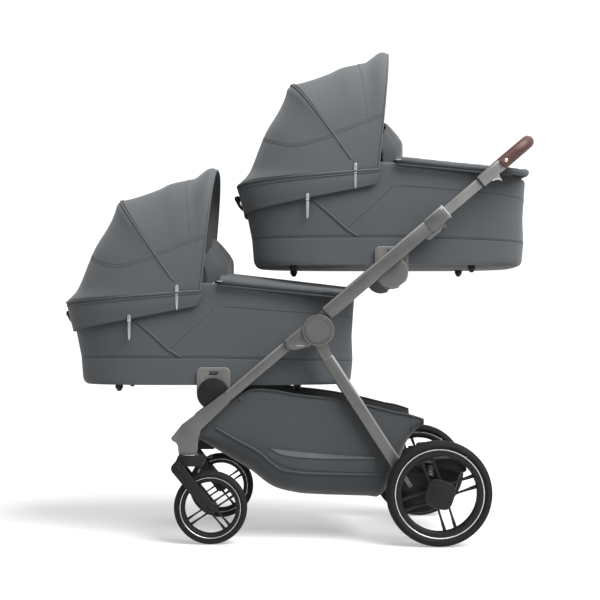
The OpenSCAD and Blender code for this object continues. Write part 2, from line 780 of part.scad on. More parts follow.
function panel_arch(base, top, d, power) = arch(base, top - (top - base) / norm(top - base) * d, canopy_w - d, power);

// Half width of the band at a place along the carrycot
function band_y(x) = canopy_w * pow(1 - pow((band_start - x) / (band_start - band_end), plan_power), 1 / plan_power);

// Fabric band round the head end of the tub, below the canopy
module canopy_band() {
    function edge(d, low) = [
        for (p = arch([band_start, 0, 0], [band_end + d, 0, 0], canopy_w - d, plan_power))
            let (s = (p.x - band_end) / (band_start - band_end))
                [p.x, p.y, low ? mix(cot_h - band_low_head, cot_h - band_low_front, s)
                    : mix(cot_h - band_top_head, cot_h - band_top_front, s)]
    ];
    color("#5f6467") thick_sheet([edge(0, false), edge(0, true)], [edge(fabric_t, false), edge(fabric_t, true)]);
}

module rear_panel() {
    // Reach and angle of the panel's top line from the pivot, from the main bow to the band
    line = [
        [333, 125.6], [331, 128], [317, 131.5], [301, 139.5], [297.5, 152], [298, 162], [307, 173.5], [320, 179.2],
        [346, 183.8]
    ];
    function section(i, d) = panel_arch(
        bow_pivot, polar(bow_pivot, line[i][0], line[i][1]), d, mix(2.7, plan_power, i / 8)
    );
    color("#5f6467") thick_sheet([for (i = [0:8]) section(i, 0)], [for (i = [0:8]) section(i, fabric_t)]);
}

module front_panel() {
    line = [[333, 125], [322, 119.5], [316, 113], [317.5, 104.4], [326.5, 98.2], [333.5, 90.5]];
    function section(i, d) = panel_arch(
        mix(bow_pivot, front_base, i / 5), polar(bow_pivot, line[i][0], line[i][1]), d, 2.7
    );
    color("#6a6f72") thick_sheet([for (i = [5:-1:0]) section(i, 0)], [for (i = [5:-1:0]) section(i, fabric_t)]);
}

// Stiff peak in front of the front bow, and the bow itself
module visor() {
    line = [[334.5, 89.5], [338, 86], [352, 82.4], [369, 79.6], [375, 77.4]];
    function section(i, d) = panel_arch(
        mix(front_base, front_base + [14, 0, 2], i / 4), polar(bow_pivot, line[i][0], line[i][1]), d, 2.7
    );
    color("#6a6f72") {
        thick_sheet([for (i = [4:-1:0]) section(i, 0)], [for (i = [4:-1:0]) section(i, fabric_t)]);
        bow(front_bow_angle, front_bow_reach - fabric_t - touch_gap - 1, bow_front_w);
    }
}

module main_bow() {
    color("#2b2c2e") bow(main_bow_angle, main_bow_reach - fabric_t - touch_gap - 4, bow_main_w);
}

// Flat bow from one side stud over to the other
module bow(angle, reach, half_w) {
    across_dir = [-sin(angle), 0, cos(angle)] * bow_w / 2;
    function edge(k, d) = [
        for (p = arch(bow_pivot, polar(bow_pivot, reach - d, angle), half_w - d, 2.7)) p + across_dir * k
    ];
    difference() {
        union() {
            thick_sheet([edge(-1, 0), edge(1, 0)], [edge(-1, bow_t), edge(1, bow_t)]);
            both_sides() across(bow_pivot, bow_w / 2 + 4, half_w - bow_t, half_w);
        }
        both_sides() across(bow_pivot, stud_r + pin_play, half_w - 12, half_w + 1);
    }
}

// Plates that hang the carrycot on the pegs, and the studs that the bows turn on
module fittings() {
    y0 = cot_half_w + touch_gap;
    color("#8a8782") both_sides() {
        difference() {
            side_plate(y0, bracket_t) {
                translate([-adapter_r - 3, -peg_drop]) square([2 * adapter_r + 6, 58]);
                translate([0, -peg_drop]) circle(r = adapter_r + 3);
                translate([-adapter_r + 12, -peg_drop + 50]) square([2 * adapter_r - 24, 23]);
                for (k = [-1, 1]) translate([k * (adapter_r - 12), -peg_drop + 58]) circle(r = 15);
            }
            translate([0, y0 - 1, -peg_drop]) rotate([0, -lift_angle, 0])
                translate([-120, 0, -peg_r - 1]) cube([120, 12, 2 * peg_r + 2]);
            across([0, 0, -peg_drop], peg_r + 1, y0 - 1, bracket_t + 1);
            translate([-13, y0 + 3, 30]) cube([26, 10, 9]);
        }
        across(bow_pivot, stud_r, cot_half_w, bow_front_w);
    }
}

// Buttons in the plates, pushed up to free the carrycot
module release() {
    y0 = cot_half_w + touch_gap;
    color("#55534f") both_sides() translate([-13 + touch_gap, y0 + 3 + touch_gap, 30 + touch_gap])
        cube([26 - 2 * touch_gap, 6, 3]);
}

// Metal zip pulls: one at the canopy's zip and one at the band's, on each side
module zip_pulls() {
    color("#b9bbbc") both_sides() for (p = zip_places)
        translate([p.x, band_y(p.x + 6) + touch_gap, p.y]) {
            translate([-5, 0, -14]) cube([10, 4, 20]);
            translate([-3.5, 0, -66]) cube([7, 2.5, 52]);
        }
}

module at_upper() { translate([upper_cot_x, 0, upper_cot_z]) children(); }
module at_lower() { translate([lower_cot_x, 0, lower_cot_z]) children(); }

front_legs();
hub_housings();
hub_caps();
front_crossbar();
lower_adapters();
basket();
caster(-1);  // caster_left
caster(1);  // caster_right
swivel_lock(-1);  // swivel_lock_left
swivel_lock(1);  // swivel_lock_right
fork(-1);  // fork_left
fork(1);  // fork_right
front_tyre(-1);  // front_tyre_left
front_tyre(1);  // front_tyre_right
front_rim(-1);  // front_rim_left
front_rim(1);  // front_rim_right
rear_legs();
rear_axle_beam();
brake_pedal();
rear_tyre(-1);  // rear_tyre_left
rear_tyre(1);  // rear_tyre_right
rear_rim(-1);  // rear_rim_left
rear_rim(1);  // rear_rim_right
handle_tubes();
upper_adapters();
handle_bar();
handle_sleeves();
handle_grip();
height_lever(-1);  // height_lever_left
height_lever(1);  // height_lever_right
fold_trigger(-1);  // fold_trigger_left
fold_trigger(1);  // fold_trigger_right
at_upper() cot_shell();  // upper_cot_shell
at_upper() cot_rim();  // upper_cot_rim
at_upper() cot_base();  // upper_cot_base
at_upper() mattress();  // upper_mattress
at_upper() apron();  // upper_apron
at_upper() canopy_band();  // upper_canopy_band
at_upper() rear_panel();  // upper_rear_panel
at_upper() main_bow();  // upper_main_bow
at_upper() front_panel();  // upper_front_panel
at_upper() visor();  // upper_visor
at_upper() fittings();  // upper_fittings
at_upper() release();  // upper_release
at_upper() zip_pulls();  // upper_zip_pulls
at_lower() cot_shell();  // lower_cot_shell
at_lower() cot_rim();  // lower_cot_rim
at_lower() cot_base();  // lower_cot_base
at_lower() mattress();  // lower_mattress
at_lower() apron();  // lower_apron
at_lower() canopy_band();  // lower_canopy_band
at_lower() rear_panel();  // lower_rear_panel
at_lower() main_bow();  // lower_main_bow
at_lower() front_panel();  // lower_front_panel
at_lower() visor();  // lower_visor
at_lower() fittings();  // lower_fittings
at_lower() release();  // lower_release
at_lower() zip_pulls();  // lower_zip_pulls
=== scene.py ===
# Twin pram: a folding chassis with two carrycots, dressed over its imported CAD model.
# Metres. +Z up, the pram faces -X, and its left side is -Y.

import json
import math

import bmesh
import bpy
from mathutils import Matrix, Vector
from mathutils.bvhtree import BVHTree
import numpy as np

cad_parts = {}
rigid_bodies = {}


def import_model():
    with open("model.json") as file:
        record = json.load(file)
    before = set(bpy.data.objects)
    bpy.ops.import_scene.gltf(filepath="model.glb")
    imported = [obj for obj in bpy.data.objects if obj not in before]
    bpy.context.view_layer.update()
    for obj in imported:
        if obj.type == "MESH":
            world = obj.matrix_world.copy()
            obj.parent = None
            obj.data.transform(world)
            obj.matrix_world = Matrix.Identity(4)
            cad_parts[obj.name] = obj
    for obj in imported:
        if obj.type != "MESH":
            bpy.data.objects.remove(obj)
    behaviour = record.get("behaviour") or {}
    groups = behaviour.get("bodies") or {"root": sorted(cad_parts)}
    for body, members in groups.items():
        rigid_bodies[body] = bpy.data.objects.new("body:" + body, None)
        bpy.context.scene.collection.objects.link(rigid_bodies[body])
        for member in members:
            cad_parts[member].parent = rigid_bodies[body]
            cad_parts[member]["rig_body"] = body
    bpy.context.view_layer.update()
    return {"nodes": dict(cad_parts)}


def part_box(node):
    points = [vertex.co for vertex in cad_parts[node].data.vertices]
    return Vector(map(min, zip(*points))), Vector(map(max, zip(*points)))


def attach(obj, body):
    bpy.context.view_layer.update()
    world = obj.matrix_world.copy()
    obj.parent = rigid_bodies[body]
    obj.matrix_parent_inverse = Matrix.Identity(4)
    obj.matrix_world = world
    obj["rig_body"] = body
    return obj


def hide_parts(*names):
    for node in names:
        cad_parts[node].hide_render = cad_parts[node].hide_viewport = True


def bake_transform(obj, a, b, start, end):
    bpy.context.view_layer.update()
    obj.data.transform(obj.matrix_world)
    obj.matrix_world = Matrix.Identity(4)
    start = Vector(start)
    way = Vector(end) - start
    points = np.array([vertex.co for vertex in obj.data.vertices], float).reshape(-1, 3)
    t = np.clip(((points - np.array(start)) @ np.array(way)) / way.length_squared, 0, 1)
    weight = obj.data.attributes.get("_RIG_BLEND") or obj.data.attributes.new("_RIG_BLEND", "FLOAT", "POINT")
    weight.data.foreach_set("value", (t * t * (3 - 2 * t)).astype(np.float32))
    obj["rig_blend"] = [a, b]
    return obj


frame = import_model()

# Side frames: front legs with cast feet, fold hubs, rear legs and lower handle tubes.
# Extruded and cast aluminium, enamelled in a warm grey with a fine metallic fleck.
# Their edges are broken, and there a painted highlight makes them a little lighter.


def new_material(name):
    material = bpy.data.materials.new(name)
    material.use_nodes = True
    tree = material.node_tree
    return material, tree, tree.nodes["Principled BSDF"]


def node(tree, kind, values=(), links=()):
    """A shader node with some inputs set to values and some linked to other sockets."""
    made = tree.nodes.new("ShaderNode" + kind)
    for key, value in dict(values).items():
        made.inputs[key].default_value = value
    for key, socket in dict(links).items():
        tree.links.new(socket, made.inputs[key])
    return made


def mixed_color(tree, factor, first, second):
    """The colour between two colours or sockets, by a factor socket."""
    made = tree.nodes.new("ShaderNodeMix")
    made.data_type = "RGBA"
    tree.links.new(factor, made.inputs[0])
    for key, color in ((6, first), (7, second)):
        if isinstance(color, bpy.types.NodeSocket):
            tree.links.new(color, made.inputs[key])
        else:
            made.inputs[key].default_value = (*color, 1)
    return made.outputs[2]


def new_group(name, inputs, outputs):
    """An empty node group with number and colour inputs, and its two end nodes."""
    group = bpy.data.node_groups.new(name, "ShaderNodeTree")
    for label, value in inputs.items():
        kind = "NodeSocketColor" if isinstance(value, tuple) else "NodeSocketFloat"
        socket = group.interface.new_socket(label, in_out="INPUT", socket_type=kind)
        socket.default_value = (*value, 1) if isinstance(value, tuple) else value
    for label, kind in outputs.items():
        group.interface.new_socket(label, in_out="OUTPUT", socket_type="NodeSocket" + kind)
    return group, group.nodes.new("NodeGroupInput").outputs, group.nodes.new("NodeGroupOutput").inputs


# Mottle: slow changes of tone and gloss over a painted or moulded skin, and its fine grain
mottle, given, put = new_group(
    "mottle",
    {"Scale": 20.0, "Grain": 900.0, "Dark": (0.1, 0.1, 0.1), "Light": (0.2, 0.2, 0.2),
     "Gloss": 0.3, "Matt": 0.5},
    {"Color": "Color", "Roughness": "Float", "Height": "Float"},
)
place = mottle.nodes.new("ShaderNodeTexCoord").outputs["Object"]
slow = node(mottle, "TexNoise", {"Detail": 5.0}, {"Vector": place, "Scale": given["Scale"]})
fine = node(mottle, "TexNoise", {"Detail": 2.0}, {"Vector": place, "Scale": given["Grain"]})
both = node(mottle, "Math", {}, {0: slow.outputs[0], 1: fine.outputs[0]})
tone = node(mottle, "MapRange", {1: 0.75, 2: 1.25}, {0: both.outputs[0]})
gloss = node(mottle, "MapRange", {1: 0.3, 2: 0.7}, {0: slow.outputs[0], 3: given["Gloss"], 4: given["Matt"]})
mottle.links.new(mixed_color(mottle, tone.outputs[0], given["Dark"], given["Light"]), put["Color"])
mottle.links.new(gloss.outputs[0], put["Roughness"])
mottle.links.new(fine.outputs[0], put["Height"])


def dressed(name, group, values, bump, depth):
    """A material that wears a node group: its colour, its gloss, and the relief of its height."""
    material, tree, shader = new_material(name)
    surface = tree.nodes.new("ShaderNodeGroup")
    surface.node_tree = group
    for key, value in values.items():
        surface.inputs[key].default_value = (*value, 1) if isinstance(value, tuple) else value
    relief = node(tree, "Bump", {"Strength": bump, "Distance": depth}, {"Height": surface.outputs["Height"]})
    tree.links.new(surface.outputs["Color"], shader.inputs["Base Color"])
    tree.links.new(surface.outputs["Roughness"], shader.inputs["Roughness"])
    tree.links.new(relief.outputs["Normal"], shader.inputs["Normal"])
    return material, tree, shader


def skin(name, dark, light, gloss=0.35, matt=0.5, scale=18, grain=1500, bump=0.08,
         edge_highlight=None, metal=0.0, shine=0.5):
    """A painted, moulded or metal skin: mottled, grained, and lighter on its broken edges by a painted highlight.
    """
    values = {"Scale": scale, "Grain": grain, "Gloss": gloss, "Matt": matt, "Dark": dark, "Light": light}
    material, tree, shader = dressed(name, mottle, values, bump, 0.0008)
    # Marked edge faces take the lighter colour: a painted highlight on the edges.
    if edge_highlight:
        edge = tree.nodes.new("ShaderNodeAttribute")
        edge.attribute_name = "edge_highlight"
        plain = shader.inputs["Base Color"].links[0].from_socket
        tree.links.new(mixed_color(tree, edge.outputs["Fac"], plain, edge_highlight), shader.inputs["Base Color"])
    shader.inputs["Metallic"].default_value = metal
    shader.inputs["Specular IOR Level"].default_value = shine
    return material


frame_grey = skin(
    "frame_grey", (0.134, 0.133, 0.131), (0.163, 0.162, 0.159), 0.32, 0.42,
    edge_highlight=(0.290, 0.287, 0.282), metal=0.45,
)


def mesh_from(bm, name):
    """A mesh with a bmesh's faces, which is freed."""
    mesh = bpy.data.meshes.new(name)
    bm.to_mesh(mesh)
    bm.free()
    return mesh


def linked(name, data):
    """A new object in the scene, of a mesh, a lamp or a camera."""
    made = bpy.data.objects.new(name, data)
    bpy.context.scene.collection.objects.link(made)
    return made


def piece(bm, name, material, body, stands_for=(), smooth=40):
    """Makes a bmesh a named piece that rides on a body and may stand for CAD nodes."""
    mesh = mesh_from(bm, name)
    mesh.shade_smooth()
    mesh.set_sharp_from_angle(angle=math.radians(smooth))
    mesh.materials.append(material)
    made = linked(name, mesh)
    if stands_for:
        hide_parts(*stands_for)
    if body:
        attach(made, body)
    return made


def break_edges(bm, width, angle=32, segments=2):
    """Rounds the sharp edges of a mesh and marks the new faces for a painted edge highlight."""
    edge_highlight = bm.faces.layers.float.get("edge_highlight") or bm.faces.layers.float.new("edge_highlight")
    sharp = [e for e in bm.edges if len(e.link_faces) == 2 and e.calc_face_angle(0) > math.radians(angle)]
    made = bmesh.ops.bevel(
        bm, geom=sharp, offset=width, offset_type="OFFSET", affect="EDGES", segments=segments,
        profile=0.5, material=-1, clamp_overlap=True,
    )
    for face in made["faces"]:
        face[edge_highlight] = 1.0


def broken_copy(name, width, material):
    """A CAD node's solids, shown with broken edges."""
    bm = bmesh.new()
    bm.from_mesh(frame["nodes"][name].data)
    bmesh.ops.remove_doubles(bm, verts=bm.verts, dist=2e-5)
    bmesh.ops.dissolve_limit(bm, angle_limit=math.radians(0.4), verts=bm.verts, edges=bm.edges)
    break_edges(bm, width)
    return piece(bm, "shown_" + name, material, frame["nodes"][name]["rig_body"], [name])


for name in ("front_legs", "hub_housings", "rear_legs", "handle_tubes", "upper_adapters"):
    broken_copy(name, 0.0018, frame_grey)

# Fold hub caps: turned aluminium discs on the pivot pins, with a ring groove and a bare dished middle.
# Each is pressed on from outside and closes the hub that the handle and the rear leg turn in.


def turned(profile, center, steps=72, closed=False, side=1):
    """A shape turned about an axle across the pram, from (radius, place towards a side) points."""
    bm = bmesh.new()
    row = [bm.verts.new(center + Vector((radius, side * out, 0))) for radius, out in profile]
    edges = [bm.edges.new(pair) for pair in zip(row, row[1:] + row[:1] if closed else row[1:])]
    bmesh.ops.spin(
        bm, geom=row + edges, cent=center, axis=(0, 1, 0), angle=2 * math.pi, steps=steps,
        use_merge=True, use_duplicate=False,
    )
    bmesh.ops.remove_doubles(bm, verts=bm.verts, dist=1e-6)
    bmesh.ops.recalc_face_normals(bm, faces=bm.faces)
    return bm


def joined(parts):
    """One bmesh that holds several."""
    whole = parts[0]
    for part in parts[1:]:
        mesh = mesh_from(part, "part")
        whole.from_mesh(mesh)
        bpy.data.meshes.remove(mesh)
    return whole


def middle_of(name):
    low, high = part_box(name)
    return (low + high) / 2


low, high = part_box("hub_caps")
hub = middle_of("hub_caps")
hub.y = 0
hub_r = (high.x - low.x) / 2
pin_r, washer_r, washer_t = 0.008, 0.013, 0.004
pin_in = high.y - 0.0463
cap_back = high.y - 0.010
cap_rim = high.y - 0.002
hub_profile = [
    (0, pin_in), (washer_r, pin_in), (washer_r, pin_in + washer_t), (pin_r, pin_in + washer_t),
    (pin_r, cap_back), (hub_r, cap_back), (hub_r, cap_rim - 0.002), (hub_r - 0.0006, cap_rim - 0.0006),
    (hub_r - 0.002, cap_rim), (0.0385, cap_rim), (0.0382, cap_rim - 0.0014), (0.0374, cap_rim - 0.0014),
    (0.0370, cap_rim + 0.0012), (0.0362, high.y), (0.0330, high.y), (0.0326, high.y - 0.0009),
    (0.0316, high.y - 0.0009), (0.0312, high.y - 0.0002), (0.0200, high.y - 0.0002), (0, high.y - 0.0003),
]
caps = [turned(hub_profile, hub, side=side) for side in (-1, 1)]
piece(joined(caps), "hub_faces", frame_grey, "front_frame", ["hub_caps"])

# Hub fairings: die-cast shoulders, painted with the frame, over each hub's arm and the top of the front leg.
# Each has a slot at its lower edge that shows the bright end of the catch behind.


def slab(outline, thickness, bevel, matrix):
    """A flat plate from an outline drawn in X and Y, with rounded edges, put in place by a matrix."""
    bm = bmesh.new()
    face = bm.faces.new([bm.verts.new((x, y, 0)) for x, y in outline])
    grown = bmesh.ops.extrude_face_region(bm, geom=[face])["geom"]
    top = [g for g in grown if isinstance(g, bmesh.types.BMVert)]
    bmesh.ops.translate(bm, verts=top, vec=(0, 0, thickness))
    bmesh.ops.recalc_face_normals(bm, faces=bm.faces)
    break_edges(bm, bevel)
    bmesh.ops.transform(bm, matrix=matrix, verts=bm.verts)
    if matrix.determinant() < 0:
        bmesh.ops.reverse_faces(bm, faces=bm.faces)
    return bm


def facing(side, at):
    """Puts a plate drawn in X and Y upright, its thickness growing outwards on one side of the pram."""
    return Matrix.Translation(at) @ Matrix(((1, 0, 0, 0), (0, 0, side, 0), (0, 1, 0, 0), (0, 0, 0, 1)))


def plates(outline, thickness, bevel, x, y, z):
    """An upright plate on each side of the pram, its thickness growing outwards from y."""
    return [slab(outline, thickness, bevel, facing(side, Vector((x, side * y, z)))) for side in (-1, 1)]


def highlight_top_edges(bm):
    """Keeps the painted edge highlight only on the edges that face upwards, where light from above would catch
    them.
    """
    bm.normal_update()
    edge_highlight = bm.faces.layers.float["edge_highlight"]
    for face in bm.faces:
        face[edge_highlight] *= float(face.normal.z > 0.1)


bright_metal = skin(
    "bright_metal", (0.50, 0.50, 0.50), (0.62, 0.62, 0.62), 0.2, 0.34, 60, 2500, 0.03,
    edge_highlight=(0.75, 0.75, 0.75), metal=0.85,
)
front_lean = math.radians(40.5)
front_along = Vector((-math.cos(front_lean), 0, -math.sin(front_lean)))
front_up = Vector((-math.sin(front_lean), 0, math.cos(front_lean)))
FAIRING = [
    (0.026, 0.0383), (0.0900, 0.0383), (0.0935, 0.0077), (0.0850, 0.0005), (0.0720, -0.0070),
    (0.0430, -0.0210),
]
SLOT = [(-0.0100, -0.0011), (0.0100, -0.0006), (0.0100, 0.0011), (-0.0100, 0.0011)]
tube_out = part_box("rear_legs")[1].y
fairing_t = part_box("hub_housings")[1].y - tube_out - 0.0004
spots = [hub + front_along * along + front_up * up for along, up in FAIRING]
fairings = plates([(p.x, p.z) for p in spots], fairing_t, 0.0030, 0, tube_out + 0.0008, 0)
for fairing in fairings:
    highlight_top_edges(fairing)
slots = plates(SLOT, 0.0014, 0.0003, hub.x - 0.050, tube_out + fairing_t - 0.0002, hub.z - 0.0425)
piece(joined(fairings), "hub_fairings", frame_grey, "front_frame")
piece(joined(slots), "hub_slots", bright_metal, "front_frame")

# Side tubes: extruded aluminium with flat sides and bevelled edges, painted, with a painted highlight along the
# top edges.
# The legs' tubes are pressed into the hub castings, and each handle tube into the collar at its end.


def axes_at(at, x, y, z):
    """A place and a heading, by the directions that X, Y and Z take there."""
    return Matrix.Translation(at) @ Matrix((x, y, z)).transposed().to_4x4()


rear_lean = math.radians(57)
rear_along = Vector((math.cos(rear_lean), 0, -math.sin(rear_lean)))
rear_up = Vector((math.sin(rear_lean), 0, math.cos(rear_lean)))
handle_dir, handle_up = -front_along, front_up
ACROSS, SIDE_Y = Vector((0, 1, 0)), tube_out - 0.011
TUBES = {
    "front_leg_tubes": ("front_frame", front_along, front_up, 0.023, 0.0800, 0.3110, 0.0306, 0.0226),
    "rear_leg_tubes": ("rear_frame", rear_along, rear_up, -0.020, 0.0755, 0.4450, 0.0346, 0.0226),
    "lower_handle_tubes": ("handle_frame", handle_dir, handle_up, 0.020, 0.0470, 0.4260, 0.0406, 0.0226),
    "lower_handle_collars": ("handle_frame", handle_dir, handle_up, 0.020, 0.4172, 0.4826, 0.0446, 0.0256),
}
for name, (body, along, up, offset, begin, end, depth, width) in TUBES.items():
    tubes = []
    for side in (-1, 1):
        at = hub + up * offset + along * begin + Vector((0, side * SIDE_Y, 0))
        outline = [(depth / 2 * i, width / 2 * j) for i, j in ((-1, -1), (1, -1), (1, 1), (-1, 1))]
        tube = slab(outline, end - begin, 0.0055, axes_at(at, up, ACROSS, along))
        # Only the upper edges keep the painted highlight.
        highlight_top_edges(tube)
        tubes.append(tube)
    piece(joined(tubes), name, frame_grey, body)

# Front crossbar and the lower carrycot's adapters: glass-filled nylon, moulded black.
# The bar is pinned between the cast feet, and each adapter disc carries the peg a carrycot hangs on.
black_plastic = skin(
    "black_plastic", (0.0050, 0.0052, 0.0056), (0.0085, 0.0088, 0.0095), 0.42, 0.60, 25, 1100, 0.18,
    edge_highlight=(0.020, 0.0205, 0.0215), shine=0.3,
)
for name in ("front_crossbar", "lower_adapters"):
    broken_copy(name, 0.0016, black_plastic)

# Front casters: a swivel block under each cast foot, with its sliding lock at the back and a sprung fork.
# Moulded black, on a bright steel thrust washer, with domed black bolts at the fork's pin and axle.


def squared(wave, power):
    """A sine or cosine pushed outwards, so that its circle becomes a square with soft corners."""
    return math.copysign(abs(wave) ** (2 / power), wave)


def rounded(width, height, power=4.0, count=40):
    """Outline of a rectangle with soft corners, about its middle."""
    points = []
    for step in range(count):
        turn = 2 * math.pi * step / count
        x, y = squared(math.cos(turn), power), squared(math.sin(turn), power)
        points.append((x * width / 2, y * height / 2))
    return points


def bolt(center, side, radius):
    """Domed bolt head with a socket, on one side of the pram."""
    head = [
        (0, -0.0005), (radius * 1.25, -0.0005), (radius * 1.25, 0.0008), (radius, 0.001),
        (radius, 0.0022), (radius * 0.85, 0.0034), (radius * 0.5, 0.0040), (radius * 0.45, 0.0040),
        (radius * 0.42, 0.0018), (0, 0.0016),
    ]
    return turned(head, center, 24, side=side)


HANDS = (("left", -1), ("right", 1))
PIN_IN, SWIVEL_IN, SWIVEL_TOP = 0.017, 0.049, 0.2486
for hand, side in HANDS:
    broken_copy("caster_" + hand, 0.0022, black_plastic)
    broken_copy("swivel_lock_" + hand, 0.0012, black_plastic)
    broken_copy("fork_" + hand, 0.0026, black_plastic)
    low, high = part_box("fork_" + hand)
    axle, pin = middle_of("front_tyre_" + hand), Vector((low.x + PIN_IN, 0, high.z - PIN_IN))
    faces = ((low.y, -1), (high.y, 1))
    bolts = [bolt(Vector((p.x, y, p.z)), out, 0.0075) for p in (axle, pin) for y, out in faces]
    piece(joined(bolts), "fork_bolts_" + hand, black_plastic, "suspension_" + hand)
    swivel = Vector((low.x + SWIVEL_IN, (low.y + high.y) / 2, SWIVEL_TOP))
    washer = bmesh.new()
    bmesh.ops.create_cone(
        washer, cap_ends=True, segments=48, radius1=0.0255, radius2=0.0255, depth=0.0012,
        matrix=Matrix.Translation(swivel + Vector((0, 0, 0.0006))),
    )
    break_edges(washer, 0.0003)
    piece(washer, "swivel_washer_" + hand, bright_metal, "swivel_" + hand)
    pad_at = swivel + Vector((-0.004, side * 0.0237, -0.0151))
    pad = slab(rounded(0.024, 0.017), 0.0012, 0.0005, facing(side, pad_at))
    piece(pad, "lock_pad_" + hand, black_plastic, "swivel_" + hand)

# Wheels: foam-filled rubber tyres with smooth walls and running grooves, on one-piece moulded rims
# with paired spokes. A bright ring sits between tyre and rim, and the rear hubs have soft square covers.
tyre_rubber = skin(
    "tyre_rubber", (0.0075, 0.0085, 0.0100), (0.0125, 0.0140, 0.0160), 0.62, 0.80, 30, 600, 0.25,
    edge_highlight=(0.020, 0.021, 0.023), shine=0.25,
)
TYRE_STEPS = 120


def tyre(center, radius, width, bead):
    """Tyre from bead to bead: upright walls and a full round tread with running grooves."""
    half, crown = width / 2, width * 0.40
    section = [(bead, -half * 0.74), (bead + 0.0022, -half * 0.90)]
    for step in range(-14, 15):
        turn = math.radians(step * 6.2)
        lean = math.sin(turn)
        depth = 0.0015 if abs(step) in (4, 9) else 0
        tread = radius - crown + crown * math.cos(turn) ** 0.7 - depth
        section.append((tread, half * math.copysign(abs(lean) ** 0.8, lean)))
    section += [(bead + 0.0022, half * 0.90), (bead, half * 0.74)]
    return turned(section, center, TYRE_STEPS, closed=True)


def spoke(center, turn, offset, r0, r1, width, depth):
    """One bar of a spoke pair: beside the radius at an angle, thicker at the hub."""
    bm = bmesh.new()
    bmesh.ops.create_cube(bm, size=1)
    long_edges = [e for e in bm.edges if abs(e.verts[0].co.x - e.verts[1].co.x) > 0.5]
    bmesh.ops.subdivide_edges(bm, edges=long_edges, cuts=4)
    for vert in bm.verts:
        along = vert.co.x + 0.5
        swell = 1.35 - 0.55 * math.sin(math.pi * min(1, along * 1.15))
        across, beside = vert.co.y * depth * swell, offset + vert.co.z * width * swell
        vert.co = Vector((r0 + (r1 - r0) * along, across, beside))
    break_edges(bm, 0.0011, 50)
    place = Matrix.Translation(center) @ Matrix.Rotation(-math.radians(turn), 4, "Y")
    bmesh.ops.transform(bm, matrix=place, verts=bm.verts)
    return bm


def ring(center, r0, r1, y, rise):
    """A thin ring with a rounded face, standing out from a wheel's side at y by rise."""
    section = [(r0, y - rise), (r0, y + 0.5 * rise), (r0 + 0.0007, y + rise), (r1 - 0.0007, y + rise),
               (r1, y + 0.5 * rise), (r1, y - rise)]
    return turned(section, center, TYRE_STEPS, closed=True)


WHEELS = {
    "front": {"bead": 0.0865, "rim_in": 0.0710, "ring": 0.0027, "hub": 0.0185, "gap": 0.0085, "bar": 0.0052,
              "pairs": (34, 124, 214, 310)},
    "rear": {"bead": 0.1248, "rim_in": 0.1037, "ring": 0.0035, "hub": 0.0300, "gap": 0.0152, "bar": 0.0068,
             "pairs": (19, 110, 198, 287)},
}
AXLE_R, RING_IN = 0.00606, 0.0010
for kind, size in WHEELS.items():
    for hand, side in HANDS:
        low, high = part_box(f"{kind}_tyre_{hand}")
        center, width, radius = (low + high) / 2, high.y - low.y, (high.x - low.x) / 2
        body = f"{kind}_wheel_{hand}"
        tread = tyre(center, radius, width, size["bead"])
        piece(tread, f"{kind}_tread_{hand}", tyre_rubber, body, [f"{kind}_tyre_{hand}"])
        half, r0, r1 = width / 2 - 0.005, size["rim_in"], size["bead"] - 0.0003
        section = [(r0, 0.007), (r0 + 0.0015, half - 0.002), (r0 + 0.004, half), (r1 - 0.006, half),
                   (r1 - 0.004, half - 0.0012), (r1, half - 0.0012)]
        section += [(r, -y) for r, y in reversed(section)]
        wheel = [turned(section, center, TYRE_STEPS, True)]
        boss_r = size["hub"]
        for turn in size["pairs"]:
            for beside in (-size["gap"], size["gap"]):
                wheel.append(spoke(center, turn, beside, boss_r * 0.6, r0 + 0.004, size["bar"], 0.012))
        barrel = width / 2 + 0.001
        boss = [(AXLE_R, -barrel), (boss_r - 0.002, -barrel), (boss_r, -barrel + 0.002),
                (boss_r, barrel - 0.002), (boss_r - 0.002, barrel), (AXLE_R, barrel)]
        wheel.append(turned(boss, center, 48, True))
        piece(joined(wheel), f"{kind}_spokes_{hand}", black_plastic, body, [f"{kind}_rim_{hand}"])
        r1 -= RING_IN
        rings = [ring(center, r1 - size["ring"], r1, out * half, out * 0.0012) for out in (-1, 1)]
        piece(joined(rings), f"{kind}_ring_{hand}", bright_metal, body)
        if kind == "rear":
            at = center + Vector((0, side * barrel, 0))
            cover = joined([
                slab(rounded(0.0780, 0.0780, 3.4, 64), 0.0048, 0.0020, facing(side, at)),
                slab(rounded(0.0500, 0.0500, 3.4, 64), 0.0060, 0.0009, facing(side, at)),
            ])
            tilt = Matrix.Rotation(math.radians(17), 3, "Y")
            bmesh.ops.rotate(cover, verts=cover.verts, cent=at, matrix=tilt)
            piece(cover, "hub_cover_" + hand, black_plastic, body)

# Rear axle beam with the leg sockets, its suspension springs and the brake pedal across it.
# Moulded black, with wire springs between the beam and the sockets and a ribbed pedal.
broken_copy("rear_axle_beam", 0.0026, black_plastic)
broken_copy("brake_pedal", 0.0020, black_plastic)


def frames_along(points, closed=False):
    """A place and heading for each point of a line, with Z along the line and as little twist as possible."""
    points = [Vector(p) for p in points]
    last = len(points) - 1
    frames, normal = [], None
    for i, point in enumerate(points):
        before = points[i - 1] if i or closed else point
        after = points[(i + 1) % len(points)] if i < last or closed else point
        ahead = (after - before).normalized()
        normal = ahead.orthogonal() if normal is None else normal - ahead * normal.dot(ahead)
        normal.normalize()
        frames.append(axes_at(point, normal, ahead.cross(normal), ahead))
    return frames


def extruded(bm, loop):
    """Extrudes a loop of edges, and gives the new vertices and their loop."""
    made = bmesh.ops.extrude_edge_only(bm, edges=loop)["geom"]
    verts = {g for g in made if isinstance(g, bmesh.types.BMVert)}
    return verts, [g for g in made if isinstance(g, bmesh.types.BMEdge) and set(g.verts) <= verts]


